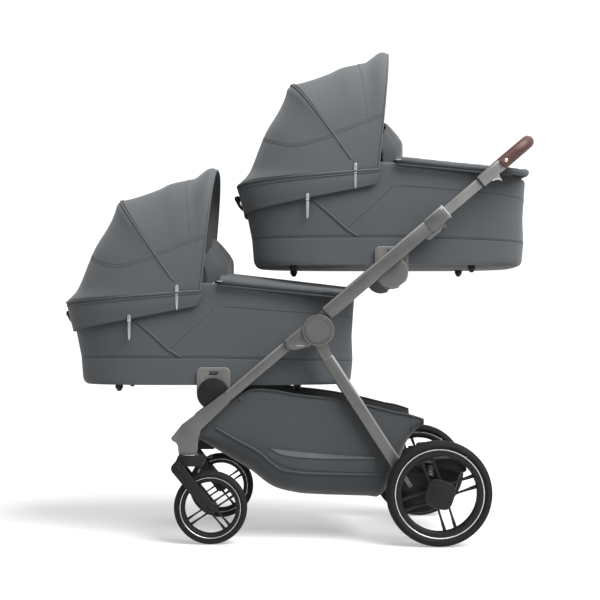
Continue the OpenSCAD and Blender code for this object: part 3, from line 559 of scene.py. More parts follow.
def tube_along(points, radius, sides=10, closed=False, flat=1.0):
    """A tube through points: a circle, or one flattened in its frame, carried along the line."""
    frames = frames_along(points, closed)
    bm = bmesh.new()
    bmesh.ops.create_circle(bm, cap_ends=not closed, radius=radius, segments=sides)
    bmesh.ops.transform(bm, matrix=frames[0] @ Matrix.Diagonal((1, flat, 1, 1)), verts=bm.verts)
    loop = first = bm.edges[:]
    for before, after in zip(frames, frames[1:]):
        verts, loop = extruded(bm, loop)
        bmesh.ops.transform(bm, matrix=after @ before.inverted(), verts=list(verts))
    if closed:
        bmesh.ops.bridge_loops(bm, edges=first + loop)
    else:
        bmesh.ops.edgeloop_fill(bm, edges=loop)
    bmesh.ops.recalc_face_normals(bm, faces=bm.faces)
    return bm


def bar(size, at):
    """A plain block of a given size about a place."""
    bm = bmesh.new()
    bmesh.ops.create_cube(bm, size=1, matrix=Matrix.Translation(at) @ Matrix.Diagonal((*size, 1)))
    return bm


beam_low, beam_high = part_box("rear_axle_beam")
spring_steel = skin(
    "spring_steel", (0.42, 0.42, 0.425), (0.52, 0.52, 0.525), 0.28, 0.4, 60, 2000, 0.04, metal=0.7
)
COILS, COIL_STEPS, COIL_R, COIL_RISE = 6, 84, 0.0085, 0.030
for hand, side in HANDS:
    foot = Vector((beam_high.x - 0.042, side * 0.2335, 0.1885))
    helix = []
    for i in range(COIL_STEPS + 1):
        turn = 2 * math.pi * COILS * i / COIL_STEPS
        height = COIL_RISE * i / COIL_STEPS
        helix.append(foot + Vector((COIL_R * math.cos(turn), COIL_R * math.sin(turn), height)))
    spring = tube_along(helix, 0.0014, 8)
    piece(spring, "rear_spring_" + hand, spring_steel, "rear_frame")
    seat = bmesh.new()
    bmesh.ops.create_cone(
        seat, cap_ends=True, segments=28, radius1=0.0125, radius2=0.0115, depth=0.008,
        matrix=Matrix.Translation(foot + Vector((0, 0, COIL_RISE + 0.004))),
    )
    arm = bar((0.024, 0.036, 0.010), foot + Vector((-0.004, side * -0.016, COIL_RISE + 0.003)))
    holder = joined([seat, arm])
    break_edges(holder, 0.0012)
    piece(holder, "spring_holder_" + hand, black_plastic, "rear_frame")

# Axle covers and the pedal's tread: moulded black shells over the beam's ends, behind the wheels, hide the
# brake's cams under a thicker lid, and the pedal has ribs to tread on and a skirt on each side.
SHELL = [
    (-0.088, -0.050), (-0.040, -0.066), (0.020, -0.060), (0.060, -0.044), (0.090, -0.026), (0.104, 0.006),
    (0.114, 0.040), (0.126, 0.060), (0.116, 0.080), (0.040, 0.082), (-0.020, 0.070), (-0.046, 0.056),
    (-0.070, 0.020),
]
LID = [
    (0.034, 0.062), (0.120, 0.052), (0.133, 0.056), (0.131, 0.068), (0.116, 0.084), (0.090, 0.095),
    (0.040, 0.091),
]
SKIRT = [
    (0.024, 0.024), (0.062, 0.023), (0.0905, 0.007), (0.087, -0.014), (0.078, -0.020), (0.030, -0.020),
    (0.025, -0.004),
]
for hand, side in HANDS:
    upright = facing(side, Vector(((beam_low.x + beam_high.x) / 2 - 0.004, side * 0.196, 0.146)))
    cover = joined([slab(SHELL, 0.030, 0.0060, upright), slab(LID, 0.044, 0.0070, upright)])
    piece(cover, "axle_cover_" + hand, black_plastic, "rear_frame")
pedal_low, pedal_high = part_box("brake_pedal")
tread = []
for i in range(6):
    at = Vector((pedal_low.x + 0.041 + 0.0055 * i, 0, pedal_high.z - 0.0003 - 0.00015 * i))
    rib = bar((0.0022, 0.112, 0.0030), at)
    break_edges(rib, 0.0006)
    tread.append(rib)
tread += plates(SKIRT, 0.0030, 0.0010, pedal_low.x + 0.011, 0.0623, pedal_high.z - 0.026)
piece(joined(tread), "pedal_ribs", black_plastic, "pedal")

# Handle: an anodised tube slides in each lower tube, up to a sleeve that holds the leather-covered grip.
# A white ring closes the lower tube's mouth, a dark one the sleeve's, and finger levers sit underneath.
tube_metal = skin(
    "tube_metal", (0.262, 0.260, 0.256), (0.305, 0.302, 0.298), 0.30, 0.38, 12, 2600, 0.03,
    edge_highlight=(0.42, 0.415, 0.408), metal=0.35,
)
lever_grey = skin(
    "grey_plastic", (0.148, 0.146, 0.142), (0.176, 0.173, 0.168), 0.4, 0.5, edge_highlight=(0.26, 0.257, 0.25)
)
broken_copy("handle_bar", 0.0006, tube_metal)
broken_copy("handle_sleeves", 0.0012, tube_metal)
for hand, side in HANDS:
    broken_copy("height_lever_" + hand, 0.0010, bright_metal)
    broken_copy("fold_trigger_" + hand, 0.0012, lever_grey)
handle_line = hub + handle_up * 0.020


def on_handle(along, across):
    return handle_line + handle_dir * along + ACROSS * across


def oval_ring(along, depth, width, length, wall):
    """A band round a side tube of oval section, at a distance along the handle, on both sides."""
    outline = rounded(depth, width, 3.0, 40)
    inside = rounded(depth - 2 * wall, width - 2 * wall, 3.0, 40)
    bands = []
    for side in (-1, 1):
        bm = bmesh.new()
        loops = []
        for points, z in ((outline, 0), (outline, length), (inside, length), (inside, 0)):
            verts = [bm.verts.new((x, y, z)) for x, y in points]
            loops.append([bm.edges.new((verts[i - 1], verts[i])) for i in range(len(verts))])
        for first, second in zip(loops, loops[1:] + loops[:1]):
            bmesh.ops.bridge_loops(bm, edges=first + second)
        bmesh.ops.recalc_face_normals(bm, faces=bm.faces)
        break_edges(bm, 0.0003, 60)
        place = axes_at(on_handle(along, side * SIDE_Y), handle_up, ACROSS, handle_dir)
        bmesh.ops.transform(bm, matrix=place, verts=bm.verts)
        bmesh.ops.recalc_face_normals(bm, faces=bm.faces)
        bands.append(bm)
    return joined(bands)


white_ring = skin("white_ring", (0.72, 0.72, 0.71), (0.82, 0.82, 0.81), 0.3, 0.4, 40, 1200, 0.05)
mouths = oval_ring(0.4828, 0.0452, 0.0258, 0.0030, 0.006)
piece(mouths, "tube_mouths", white_ring, "handle_frame")
piece(oval_ring(0.6085, 0.0368, 0.0236, 0.0026, 0.004), "sleeve_mouths", black_plastic, "handle_upper")
piece(oval_ring(0.6720, 0.0356, 0.0226, 0.0008, 0.003), "sleeve_lines", tube_metal, "handle_upper")
TRIGGER = [
    (0.392, -0.0203), (0.397, -0.0300), (0.402, -0.0312), (0.436, -0.0322), (0.452, -0.0245),
    (0.456, -0.0203),
]
for hand, side in HANDS:
    under = axes_at(on_handle(0, side * SIDE_Y - 0.0085), handle_dir, handle_up, ACROSS)
    piece(slab(TRIGGER, 0.0170, 0.0014, under), "trigger_block_" + hand, lever_grey, "trigger_" + hand)

# Grip: brown leather wrapped round the bar and sewn along its inner side, with a stud at each end.
# The leather is grained and darker where it is handled, and its seam stands up as a thin welt.


def sum_of(tree, kind, *terms):
    """A maths node of a kind, with numbers and sockets as its terms."""
    made = tree.nodes.new("ShaderNodeMath")
    made.operation = kind
    for key, term in enumerate(terms):
        if isinstance(term, bpy.types.NodeSocket):
            tree.links.new(term, made.inputs[key])
        else:
            made.inputs[key].default_value = term
    return made.outputs[0]


grip_leather, tree, shader = new_material("grip_leather")
place = tree.nodes.new("ShaderNodeTexCoord").outputs["Object"]
cells = node(tree, "TexVoronoi", {"Scale": 620.0, "Randomness": 1.0}, {"Vector": place})
pores = node(tree, "TexNoise", {"Scale": 1400.0, "Detail": 3.0}, {"Vector": place})
tint = node(tree, "TexNoise", {"Scale": 26.0, "Detail": 6.0, "Roughness": 0.6}, {"Vector": place})
worn = node(tree, "MapRange", {1: 0.35, 2: 0.68}, {0: tint.outputs[0]})
hide_color = mixed_color(tree, worn.outputs[0], (0.083, 0.032, 0.025), (0.122, 0.048, 0.037))
creases = node(tree, "MapRange", {1: 0.0, 2: 0.0011, 3: 0.72, 4: 1.0}, {0: cells.outputs["Distance"]})
grained = node(tree, "Mix", {0: 1.0})
grained.data_type = "RGBA"
grained.blend_type = "MULTIPLY"
tree.links.new(hide_color, grained.inputs[6])
tree.links.new(creases.outputs[0], grained.inputs[7])
tree.links.new(grained.outputs[2], shader.inputs["Base Color"])
sheen = node(tree, "MapRange", {1: 0.3, 2: 0.7, 3: 0.40, 4: 0.56}, {0: tint.outputs[0]})
tree.links.new(sheen.outputs[0], shader.inputs["Roughness"])
grain = sum_of(tree, "MULTIPLY", cells.outputs["Distance"], pores.outputs[0])
relief = node(tree, "Bump", {"Strength": 0.35, "Distance": 0.0008}, {"Height": grain})
tree.links.new(relief.outputs["Normal"], shader.inputs["Normal"])
grip_r, corner_r, grip_from, corner_from = 0.0180, 0.058, 0.688, 0.738
bar_from = corner_from + corner_r


def grip_path(inset=0.0, end_gap=0.0):
    """The grip's middle line from the left sleeve to the right, or a line beside it on its inner side."""
    reach, turn_r = SIDE_Y - inset, corner_r - inset
    corner = [(math.cos(a), math.sin(a)) for a in (math.radians(7.5 * k) for k in range(13))]
    half = [(grip_from + end_gap + (corner_from - grip_from - end_gap) * k / 4, reach) for k in range(4)]
    half += [(corner_from + turn_r * s, reach - turn_r + turn_r * c) for c, s in corner]
    half += [(bar_from - inset, (reach - turn_r) * (1 - k / 16)) for k in range(1, 16)]
    left = [on_handle(a, -y) for a, y in half]
    right = [on_handle(a, y) for a, y in reversed(half)]
    return left + [on_handle(bar_from - inset, 0)] + right


wrap = tube_along(grip_path(), grip_r, 28)
piece(wrap, "grip_cover", grip_leather, "handle_upper", ["handle_grip"], smooth=60)
welt = tube_along(grip_path(grip_r - 0.0002, 0.004), 0.0011, 8)
piece(welt, "grip_welt", grip_leather, "handle_upper")
thread = skin("grip_thread", (0.19, 0.085, 0.060), (0.26, 0.12, 0.085), 0.5, 0.7, 200, 3000, 0.1)


def stitch_row(line, normals, lift, width=0.0009, pitch=0.0056, length=0.0036):
    """Short rounded stitches lying along a line on a surface."""
    whole, walked, due = bmesh.new(), 0.0, 0.0
    for (a, na), (b, nb) in zip(zip(line, normals), zip(line[1:], normals[1:])):
        step = (b - a).length
        while step and due <= walked + step:
            share = (due - walked) / step
            up = na.lerp(nb, share).normalized()
            ahead = (b - a).normalized()
            across = up.cross(ahead).normalized()
            up = ahead.cross(across)
            at = a.lerp(b, share) + up * lift
            place = axes_at(at, ahead, across, up) @ Matrix.Diagonal((length, width, width * 0.7, 1))
            made = bmesh.ops.create_cube(whole, size=1, matrix=place)
            tips = [v for v in made["verts"] if (v.co - at).dot(up) > 0]
            bmesh.ops.scale(whole, verts=tips, vec=(0.72, 0.72, 1), space=Matrix.Translation(-at))
            due += pitch
        walked += step
    return whole


seam = []
middle = grip_path(0.0, 0.006)
for lean in (-0.34, 0.34):
    line = [p + handle_up * grip_r * math.sin(lean) for p in grip_path(grip_r * math.cos(lean), 0.006)]
    normals = [(p - m).normalized() for p, m in zip(line, middle)]
    seam.append(stitch_row(line, normals, 0.0001, pitch=0.0058, length=0.0040))
piece(joined(seam), "grip_stitches", thread, "handle_upper")
STUD = [(0, -0.0006), (0.0052, -0.0006), (0.0050, 0.0006), (0.0040, 0.0014), (0.0020, 0.0019), (0, 0.0020)]
studs = []
for side in (-1, 1):
    at = on_handle(grip_from + 0.013, side * (SIDE_Y + grip_r - 0.0002))
    studs.append(turned(STUD, at, 28, side=side))
stud_metal = skin("stud_metal", (0.74, 0.66, 0.63), (0.84, 0.78, 0.75), 0.15, 0.25, 60, 1500, 0.02, metal=0.6)
piece(joined(studs), "grip_studs", stud_metal, "handle_upper")

# Shopping basket: coated cloth sewn into a scoop that hangs between the legs and sags to its middle.
# Its edge is bound, a corded seam joins the sides to the floor, and a net strip is let into each side.
weave, given, put = new_group(
    "weave",
    {"Threads": 5200.0, "Dark": (0.05, 0.05, 0.05), "Light": (0.1, 0.1, 0.1), "Slub": 240.0},
    {"Color": "Color", "Roughness": "Float", "Height": "Float"},
)
place = weave.nodes.new("ShaderNodeTexCoord").outputs["Object"]
axes = node(weave, "SeparateXYZ", {}, {0: place}).outputs
warp = sum_of(weave, "MULTIPLY_ADD", axes[1], 0.62, axes[0])
weft = sum_of(weave, "MULTIPLY_ADD", axes[1], 0.62, axes[2])
threads = [sum_of(weave, "SINE", sum_of(weave, "MULTIPLY", t, given["Threads"])) for t in (warp, weft)]
crossing = sum_of(weave, "MULTIPLY_ADD", sum_of(weave, "MULTIPLY", *threads), 0.5, 0.5)
slub = node(weave, "TexNoise", {"Detail": 4.0, "Roughness": 0.65}, {"Vector": place, "Scale": given["Slub"]})
fade = node(weave, "TexNoise", {"Scale": 7.0, "Detail": 3.0}, {"Vector": place})
tone = sum_of(weave, "MULTIPLY_ADD", crossing, 0.30, sum_of(weave, "MULTIPLY", slub.outputs[0], 0.75))
tone = sum_of(weave, "MULTIPLY_ADD", fade.outputs[0], 0.5, tone)
shade = node(weave, "MapRange", {1: 0.35, 2: 1.15}, {0: tone})
weave.links.new(mixed_color(weave, shade.outputs[0], given["Dark"], given["Light"]), put["Color"])
dull = node(weave, "MapRange", {1: 0.3, 2: 0.7, 3: 0.74, 4: 0.90}, {0: slub.outputs[0]})
weave.links.new(dull.outputs[0], put["Roughness"])
weave.links.new(sum_of(weave, "MULTIPLY_ADD", slub.outputs[0], 0.6, crossing), put["Height"])


def cloth(name, dark, light, threads=5200, slub=240, relief=0.25, sheen=0.25):
    """A woven cloth: heathered threads, a faint relief of warp and weft, and a soft sheen."""
    values = {"Threads": threads, "Slub": slub, "Dark": dark, "Light": light}
    material, _, shader = dressed(name, weave, values, relief, 0.0006)
    shader.inputs["Sheen Weight"].default_value = sheen
    shader.inputs["Sheen Roughness"].default_value = 0.5
    return material


basket_cloth = cloth("basket_cloth", (0.050, 0.055, 0.059), (0.076, 0.083, 0.089), 4200, 180)
basket_trim = cloth("basket_trim", (0.030, 0.033, 0.035), (0.045, 0.049, 0.052), 6000, 300)
basket_net = cloth("basket_net", (0.045, 0.049, 0.052), (0.270, 0.283, 0.292), 1350, 420, 0.8)
basket_mesh = cloth("basket_mesh", (0.060, 0.066, 0.071), (0.092, 0.100, 0.107), 2400, 260, 0.5)


def spline(points, count):
    """A smooth line through points, as count + 1 points at even steps of its run."""
    points = [Vector(p) for p in points]
    ends = [2 * points[0] - points[1]] + points + [2 * points[-1] - points[-2]]
    line = []
    for step in range(count + 1):
        run = (len(points) - 1) * step / count
        k = min(int(run), len(points) - 2)
        t = run - k
        a, b, c, d = ends[k:k + 4]
        bend = (2 * a - 5 * b + 4 * c - d) * t * t + (3 * b - a - 3 * c + d) * t ** 3
        line.append(b + ((c - a) * t + bend) / 2)
    return line


def spread(points, count):
    """The same line as count + 1 points at even distances."""
    reach = [0.0]
    for a, b in zip(points, points[1:]):
        reach.append(reach[-1] + (b - a).length)
    line, k = [], 0
    for step in range(count + 1):
        due = reach[-1] * step / count
        while k < len(points) - 2 and reach[k + 1] < due:
            k += 1
        share = (due - reach[k]) / max(1e-9, reach[k + 1] - reach[k])
        line.append(points[k].lerp(points[k + 1], min(1.0, share)))
    return line


def arch(base, top, half_w, power, count):
    """A rounded arch from the left side of base over top to the right side, at even distances."""
    line = []
    for step in range(241):
        turn = math.pi * step / 240
        across = Vector((0, -half_w * squared(math.cos(turn), power), 0))
        line.append(base.lerp(top, max(0.0, math.sin(turn)) ** (2 / power)) + across)
    return spread(line, count)


def length_of(line):
    return sum((b - a).length for a, b in zip(line, line[1:]))


def sewn(lines, thickness, rim=0.0008):
    """A cloth panel laid through lines of points, with its thickness inside, its cut size and its area."""
    rows, columns = len(lines) - 1, len(lines[0]) - 1
    bm = bmesh.new()
    bmesh.ops.create_grid(bm, x_segments=columns, y_segments=rows, size=0.5)
    for vert in bm.verts:
        vert.co = lines[round((vert.co.y + 0.5) * rows)][round((vert.co.x + 0.5) * columns)]
    area = sum(face.calc_area() for face in bm.faces)
    across = [[line[j] for line in lines] for j in range(columns + 1)]
    cut = (max(map(length_of, lines)), max(map(length_of, across)))
    bm.normal_update()
    bmesh.ops.solidify(bm, geom=bm.faces[:], thickness=thickness)
    if rim:
        break_edges(bm, rim, 60)
    return bm, cut, area


def declared(cut, area):
    area = min(area, cut[0] * cut[1])


low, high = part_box("basket")
front, half_w = low.x, high.y
BASKET = [
    (0, 0.300, 0.285), (0.040, 0.346, 0.255), (0.080, 0.384, 0.229), (0.143, 0.424, 0.189),
    (0.206, 0.425, 0.142), (0.277, 0.413, 0.123), (0.340, 0.406, 0.118), (0.396, 0.398, 0.116),
    (0.475, 0.383, 0.114), (0.516, 0.373, 0.116), (0.552, 0.364, 0.180), (0.589, 0.357, 0.276),
    (0.628, 0.345, 0.326),
]
stations = spread(spline(BASKET, 120), 64)
lines = []
for behind, top_z, floor_z in stations:
    x = front + behind
    lines.append(arch(Vector((x, 0, top_z)), Vector((x, 0, floor_z)), half_w, 4.5, 64))
bm, cut, area = sewn(lines, 0.0022)
bag = piece(bm, "basket_bag", basket_cloth, None, ["basket"], smooth=50)


def surface_of(*objects):
    """What lines are drawn on: a tree of one or more pieces' faces."""
    whole = bmesh.new()
    for obj in objects:
        whole.from_mesh(obj.data)
    return BVHTree.FromBMesh(whole)


def drawn_on(tree, rays, reach, lift=0.0):
    """Where rays of (start, way) meet a piece, as a line of points and the normals there."""
    line, normals = [], []
    for start, way in rays:
        spot, normal, _, _ = tree.ray_cast(start, way, reach)
        if spot:
            normal = normal if normal.dot(way) < 0 else -normal
            line.append(spot + normal * lift)
            normals.append(normal)
    return line, normals


def traced(tree, places, side, count, lift=0.0):
    """A line drawn on the side of a piece, through (x, z) places."""
    places = spread(spline([(*place, 0) for place in places], 200), count)
    rays = [(Vector((x, side * 0.6, z)), Vector((0, -side, 0))) for x, z, _ in places]
    return drawn_on(tree, rays, 1.2, lift)


def follow_legs(obj):
    """The basket's pieces stretch from the front legs to the rear legs, which fold towards each other."""
    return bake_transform(obj, "front_frame", "rear_frame", start=(0.046, 0, 0.35), end=(0.326, 0, 0.30))


def strip_lines(tree, upper, lower, side, count, lift):
    """Lines drawn on a piece's side from an upper line down to a lower one, for a strip sewn on there."""
    drawn = []
    for k in range(count + 1):
        share = k / count
        places = [(a + (c - a) * share, b + (d - b) * share) for (a, b), (c, d) in zip(upper, lower)]
        drawn.append(traced(tree, places, side, 40, lift)[0])
    return drawn


tree = surface_of(bag)
edge = [line[0] for line in lines] + lines[-1][1:-1]
edge += [line[-1] for line in reversed(lines)] + lines[0][-2:0:-1]
cords, ridges, nets, panes, threads = [], [], [], [], []
FLOOR_SEAM = [
    (-0.229, 0.322), (-0.174, 0.290), (-0.112, 0.256), (-0.074, 0.224), (-0.042, 0.203), (0.006, 0.195),
    (0.064, 0.192), (0.146, 0.190), (0.233, 0.189),
]
NET_TOP = [(-0.080, 0.267), (-0.044, 0.262), (0.006, 0.257), (0.106, 0.248), (0.218, 0.241)]
NET_LOW = [(-0.078, 0.265), (-0.048, 0.248), (-0.002, 0.239), (0.101, 0.234), (0.218, 0.234)]
MESH_LOW = [(-0.084, 0.246), (-0.052, 0.224), (-0.006, 0.208), (0.101, 0.199), (0.218, 0.197)]
for side in (-1, 1):
    ridges.append(tube_along(traced(tree, FLOOR_SEAM, side, 70, 0.0002)[0], 0.0034, 10))
    for shift in (0.007, -0.007):
        row, normals = traced(tree, [(x, z + shift) for x, z in FLOOR_SEAM], side, 70)
        threads.append(stitch_row(row, normals, 0.0002, pitch=0.0062, length=0.0038))
    strips = strip_lines(tree, NET_TOP, NET_LOW, side, 4, 0.0012)
    nets.append(sewn(strips[::side], 0.0010, 0)[0])
    panes.append(sewn(strip_lines(tree, NET_LOW, MESH_LOW, side, 5, 0.0008)[::side], 0.0008, 0)[0])
    cords += [tube_along(strips[row], 0.0011, 6) for row in (0, -1)]
    cords.append(tube_along(spread([strips[0][0], strips[-1][0]], 8), 0.0013, 6))
hem_rows = [[p + (p - Vector((p.x, 0, p.z + 0.05))).normalized() * 0.0010 for p in row] for row in lines[60:]]
TRIMS = [
    ("basket_binding", tube_along(edge, 0.0034, 8, closed=True), basket_trim),
    ("basket_cords", joined(cords), basket_trim),
    ("basket_ridges", joined(ridges), basket_cloth), ("basket_nets", joined(nets), basket_net),
    ("basket_mesh_panes", joined(panes), basket_mesh), ("basket_stitches", joined(threads), basket_mesh),
    ("basket_hem", sewn(hem_rows, 0.0008, 0)[0], basket_cloth),
]
trims = [piece(bm, name, material, None) for name, bm, material in TRIMS]
declared(cut, area)
for obj in [bag] + trims:
    follow_legs(obj)
LOOP_IN = 0.0030
loop_t = SIDE_Y - 0.0112 - half_w + LOOP_IN
for body, behind in (("front_frame", 0.118), ("rear_frame", 0.432)):
    top_z = min(stations, key=lambda s: abs(s[0] - behind))[1]
    outline = rounded(0.011, 0.012, 6, 32)
    loops = plates(outline, loop_t, 0.0010, front + behind, half_w - LOOP_IN, top_z - 0.010)
    piece(joined(loops), "basket_loops_" + body, basket_cloth, body)

# Carrycot tubs: quilted slate cloth over a stiff wall, with a corded seam round the bottom panel.
# A seam runs in a V down each side and on round the foot end, sewn with two rows of stitches.
slate_cloth = cloth("slate_cloth", (0.067, 0.0745, 0.081), (0.100, 0.1105, 0.119))
# The seam cloth is darker than the slate cloth: painted shade in the seams' ditches, along the bow and at the
# band's hems.
seam_cloth = cloth("seam_cloth", (0.042, 0.047, 0.051), (0.062, 0.069, 0.074), 6000, 300)
seam_thread = skin("seam_thread", (0.15, 0.16, 0.168), (0.20, 0.21, 0.22), 0.6, 0.75, 200, 3000, 0.1)
COT_H, HEAD_X, FOOT_X, COT_HALF_W, PLAN_POWER = 0.288, -0.424, 0.404, 0.200, 3.5
TUB_LEVELS = [
    (0, 0.044, 0.024), (0.014, 0.037, 0.0165), (0.034, 0.0335, 0.0125), (0.06, 0.031, 0.010),
    (0.27, 0.026, 0.005), (0.55, 0.013, 0.010), (0.78, 0.005, 0.006), (1, 0, 0),
]
LOW_SEAM, TOP_SEAM, TUB_STEPS = 0.270, 0.775, 168
HEAD_DIP, DIP_RUN, FOOT_FALL = 0.054, 0.194, 0.040
COTS = {}
for cot in ("upper", "lower"):
    low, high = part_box(cot + "_cot_shell")
    COTS[cot] = Vector((high.x - FOOT_X, 0, low.z))


def head_fall(x):
    """How far the rim dips under the canopy at the head end."""
    return HEAD_DIP * max(0.0, (HEAD_X + DIP_RUN - x) / DIP_RUN) ** 1.5


def tub_z(x, share=1.0):
    """Height of a level of the tub: the rim falls a little to the foot, and dips at the head."""
    return share * (COT_H - FOOT_FALL * max(0, x) / FOOT_X) - share ** 4 * head_fall(x)


def plan_ring(x0, x1, half_w, height, steps, count):
    """A closed line in plan, a rectangle with soft corners, at the height that each x has."""
    ring = []
    for step in range(steps + 1):
        turn = 2 * math.pi * step / steps
        x = x0 + (x1 - x0) * (1 + squared(math.cos(turn), PLAN_POWER)) / 2
        ring.append(Vector((x, half_w * squared(math.sin(turn), PLAN_POWER), height(x))))
    return spread(ring, count)[:-1]


def tub_ring(share, inset, lift=0.0):
    """One level of the tub in plan, at a share of its height and drawn in by inset."""
    k = max(i for i in range(len(TUB_LEVELS) - 1) if TUB_LEVELS[i][0] <= share + 1e-9)
    (s0, h0, f0), (s1, h1, f1) = TUB_LEVELS[k:k + 2]
    t = (share - s0) / (s1 - s0)
    x0 = HEAD_X + h0 + (h1 - h0) * t + inset
    x1 = FOOT_X - f0 - (f1 - f0) * t - inset
    return plan_ring(x0, x1, COT_HALF_W - inset, lambda x: max(tub_z(x, share), lift), 720, TUB_STEPS)


def lofted(rings):
    """A skin through closed rings of points, each extruded from the one before, with both ends filled."""
    bm = bmesh.new()
    bmesh.ops.create_circle(bm, cap_ends=True, segments=len(rings[0]), radius=1)
    spot = bm.verts.layers.int.new("spot")
    for i, vert in enumerate(bm.verts):
        vert[spot] = i
        vert.co = rings[0][i]
    loop = bm.edges[:]
    for ring_points in rings[1:]:
        verts, loop = extruded(bm, loop)
        for vert in verts:
            vert.co = ring_points[vert[spot]]
    bmesh.ops.edgeloop_fill(bm, edges=loop)
    bmesh.ops.recalc_face_normals(bm, faces=bm.faces)
    return bm


def tub_outside(share):
    """How far the cloth is drawn in at a level: it swells between its seams and sinks at the lower one."""
    swell = 0.0022 * math.sin(math.pi * max(0, share - 0.30) / 0.70)
    return 0.0026 * math.exp(-((share - LOW_SEAM) / 0.0065) ** 2) - swell


OUTER_SHARES = [
    0, 0.015, 0.035, 0.06, 0.10, 0.15, 0.20, 0.24, 0.255, 0.263, 0.270, 0.277, 0.285, 0.30, 0.35, 0.42,
    0.50, 0.58, 0.66, 0.72, 0.78, 0.84, 0.90, 0.95, 0.975,
]
rings = [tub_ring(s, tub_outside(s)) for s in OUTER_SHARES]
rings += [tub_ring(0.99, 0.0012), tub_ring(1.0, 0.0038), tub_ring(0.997, 0.0062), tub_ring(0.985, 0.0080)]
rings += [tub_ring(s, 0.0082, 0.0080) for s in (0.9, 0.75, 0.55, 0.3, 0.12, 0.06, 0.0)]
tub_bm = lofted(rings)
tub_tree = BVHTree.FromBMesh(tub_bm)


def sunk_tube(line, normals, depth, radius):
    """A thin six-sided seam along a line on a surface, sunk a little into it."""
    return tube_along([p - n * depth for p, n in zip(line, normals)], radius, 6)


seams, threads, ridges = [tube_along(tub_ring(LOW_SEAM, 0.0012), 0.0017, 8, closed=True)], [], []
top_ring = tub_ring(TOP_SEAM, tub_outside(TOP_SEAM))
head = TUB_STEPS // 2
line = [p for p in top_ring[head:] + top_ring[:head] if p.x > 0.018]
normals = [Vector((p.x - 0.18, p.y, 0)) if p.x > 0.30 else Vector((0, p.y, 0)) for p in line]
normals = [n.normalized() for n in normals]
seams.append(sunk_tube(line, normals, 0.0002, 0.0011))
BESIDE = (-0.0045, 0.0045)
for shift in BESIDE:
    threads.append(stitch_row([p + Vector((0, 0, shift)) for p in line], normals, 0.0004))
V_FRONT = [(0.018, 0.2215), (0.004, 0.2180), (-0.008, 0.2080), (-0.060, 0.1585), (-0.126, 0.0995)]
V_BACK = [(-0.093, 0.0790), (-0.126, 0.0995), (-0.170, 0.1390), (-0.230, 0.1905)]
for side in (-1, 1):
    seams.append(sunk_tube(*traced(tub_tree, V_FRONT, side, 40), 0.0003, 0.0012))
    ridges.append(tube_along(traced(tub_tree, V_BACK, side, 40)[0], 0.0024, 10))
    below = [(x - 0.0036, z - 0.0036) for x, z in V_BACK]
    seams.append(sunk_tube(*traced(tub_tree, below, side, 40), 0.0002, 0.0014))
    for shift in BESIDE:
        beside = [(x + shift, z) for x, z in V_FRONT]
        threads.append(stitch_row(*traced(tub_tree, beside, side, 40), 0.0004))


def fitted(bm, cot, name, material, body="cot", stands_for=None, smooth=40):
    """A piece of one carrycot: a copy of a mesh drawn in the carrycot's own frame, put in its place."""
    copy = bm.copy()
    bmesh.ops.translate(copy, verts=copy.verts, vec=COTS[cot])
    nodes = [f"{cot}_{stands_for}"] if stands_for else []
    return piece(copy, f"{cot}_{name}", material, body and f"{cot}_{body}", nodes, smooth)


seam_bm, thread_bm, ridge_bm = joined(seams), joined(threads), joined(ridges)
for cot in COTS:
    tub = fitted(tub_bm, cot, "tub", slate_cloth, stands_for="cot_shell", smooth=55)
    fitted(seam_bm, cot, "tub_seams", seam_cloth)
    fitted(ridge_bm, cot, "tub_ridges", slate_cloth)
    fitted(thread_bm, cot, "tub_stitches", seam_thread)

# Carrycot fittings: a stiff loop in the rim, a base board on four moulded feet, and the hanging plates.
# The plates are glass-filled nylon in the frame's grey, each with a release button in its slot.
FITTINGS = {
    "cot_rim": (0.0012, black_plastic), "cot_base": (0.0010, black_plastic), "fittings": (0.0014, lever_grey),
    "release": (0.0006, black_plastic),
}
for cot in COTS:
    for name, (width, material) in FITTINGS.items():
        broken_copy(f"{cot}_{name}", width, material)

# Mattresses: foam pads in a pale knitted cover, crowned in the middle and drawn in at their piped sides.
# Each lies on its carrycot's base board.
liner_cloth = cloth("liner_cloth", (0.42, 0.43, 0.43), (0.56, 0.57, 0.56), 3600, 300, 0.3, 0.4)
MATTRESS_LEVELS = [
    (0, 0.018), (0.008, 0.006), (0.018, 0.002), (0.028, 0.008), (0.034, 0.036), (0.037, 0.092),
]
bed_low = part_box("upper_mattress")[0].z - COTS["upper"].z + 0.0004


def mattress_ring(rise, inset):
    x0, x1 = HEAD_X + 0.084 + inset, FOOT_X - 0.046 - inset
    return plan_ring(x0, x1, COT_HALF_W - 0.032 - inset, lambda x: bed_low + rise, 480, 120)


PUFF_FRAMES = 20


def puffed(bm, name, voxel, pressure, cap):
    """A pad swelled by its filling: cloth simulated under pressure, with each point's travel capped."""
    pad = linked(name, mesh_from(bm, name))
    bpy.context.view_layer.objects.active = pad
    remesh = pad.modifiers.new("remesh", "REMESH")
    remesh.mode = "VOXEL"
    remesh.voxel_size = voxel
    bpy.ops.object.modifier_apply(modifier="remesh")
    before = [v.co.copy() for v in pad.data.vertices]
    stuffing = pad.modifiers.new("stuffing", "CLOTH")
    stuffing.settings.use_pressure = True
    stuffing.settings.uniform_pressure_force = pressure
    stuffing.settings.effector_weights.gravity = 0
    stuffing.settings.quality = 4
    for step in range(1, PUFF_FRAMES + 1):
        bpy.context.scene.frame_set(step)
    bpy.ops.object.modifier_apply(modifier="stuffing")
    bpy.context.scene.frame_set(1)
    for vert, start in zip(pad.data.vertices, before):
        travel = vert.co - start
        travel.z = max(travel.z, -0.0005)
        if travel.length > cap:
            travel *= cap / travel.length
        vert.co = start + travel
    done = bmesh.new()
    done.from_mesh(pad.data)
    bpy.data.objects.remove(pad)
    bmesh.ops.smooth_vert(
        done, verts=done.verts, factor=0.5, use_axis_x=True, use_axis_y=True, use_axis_z=True,
    )
    return done


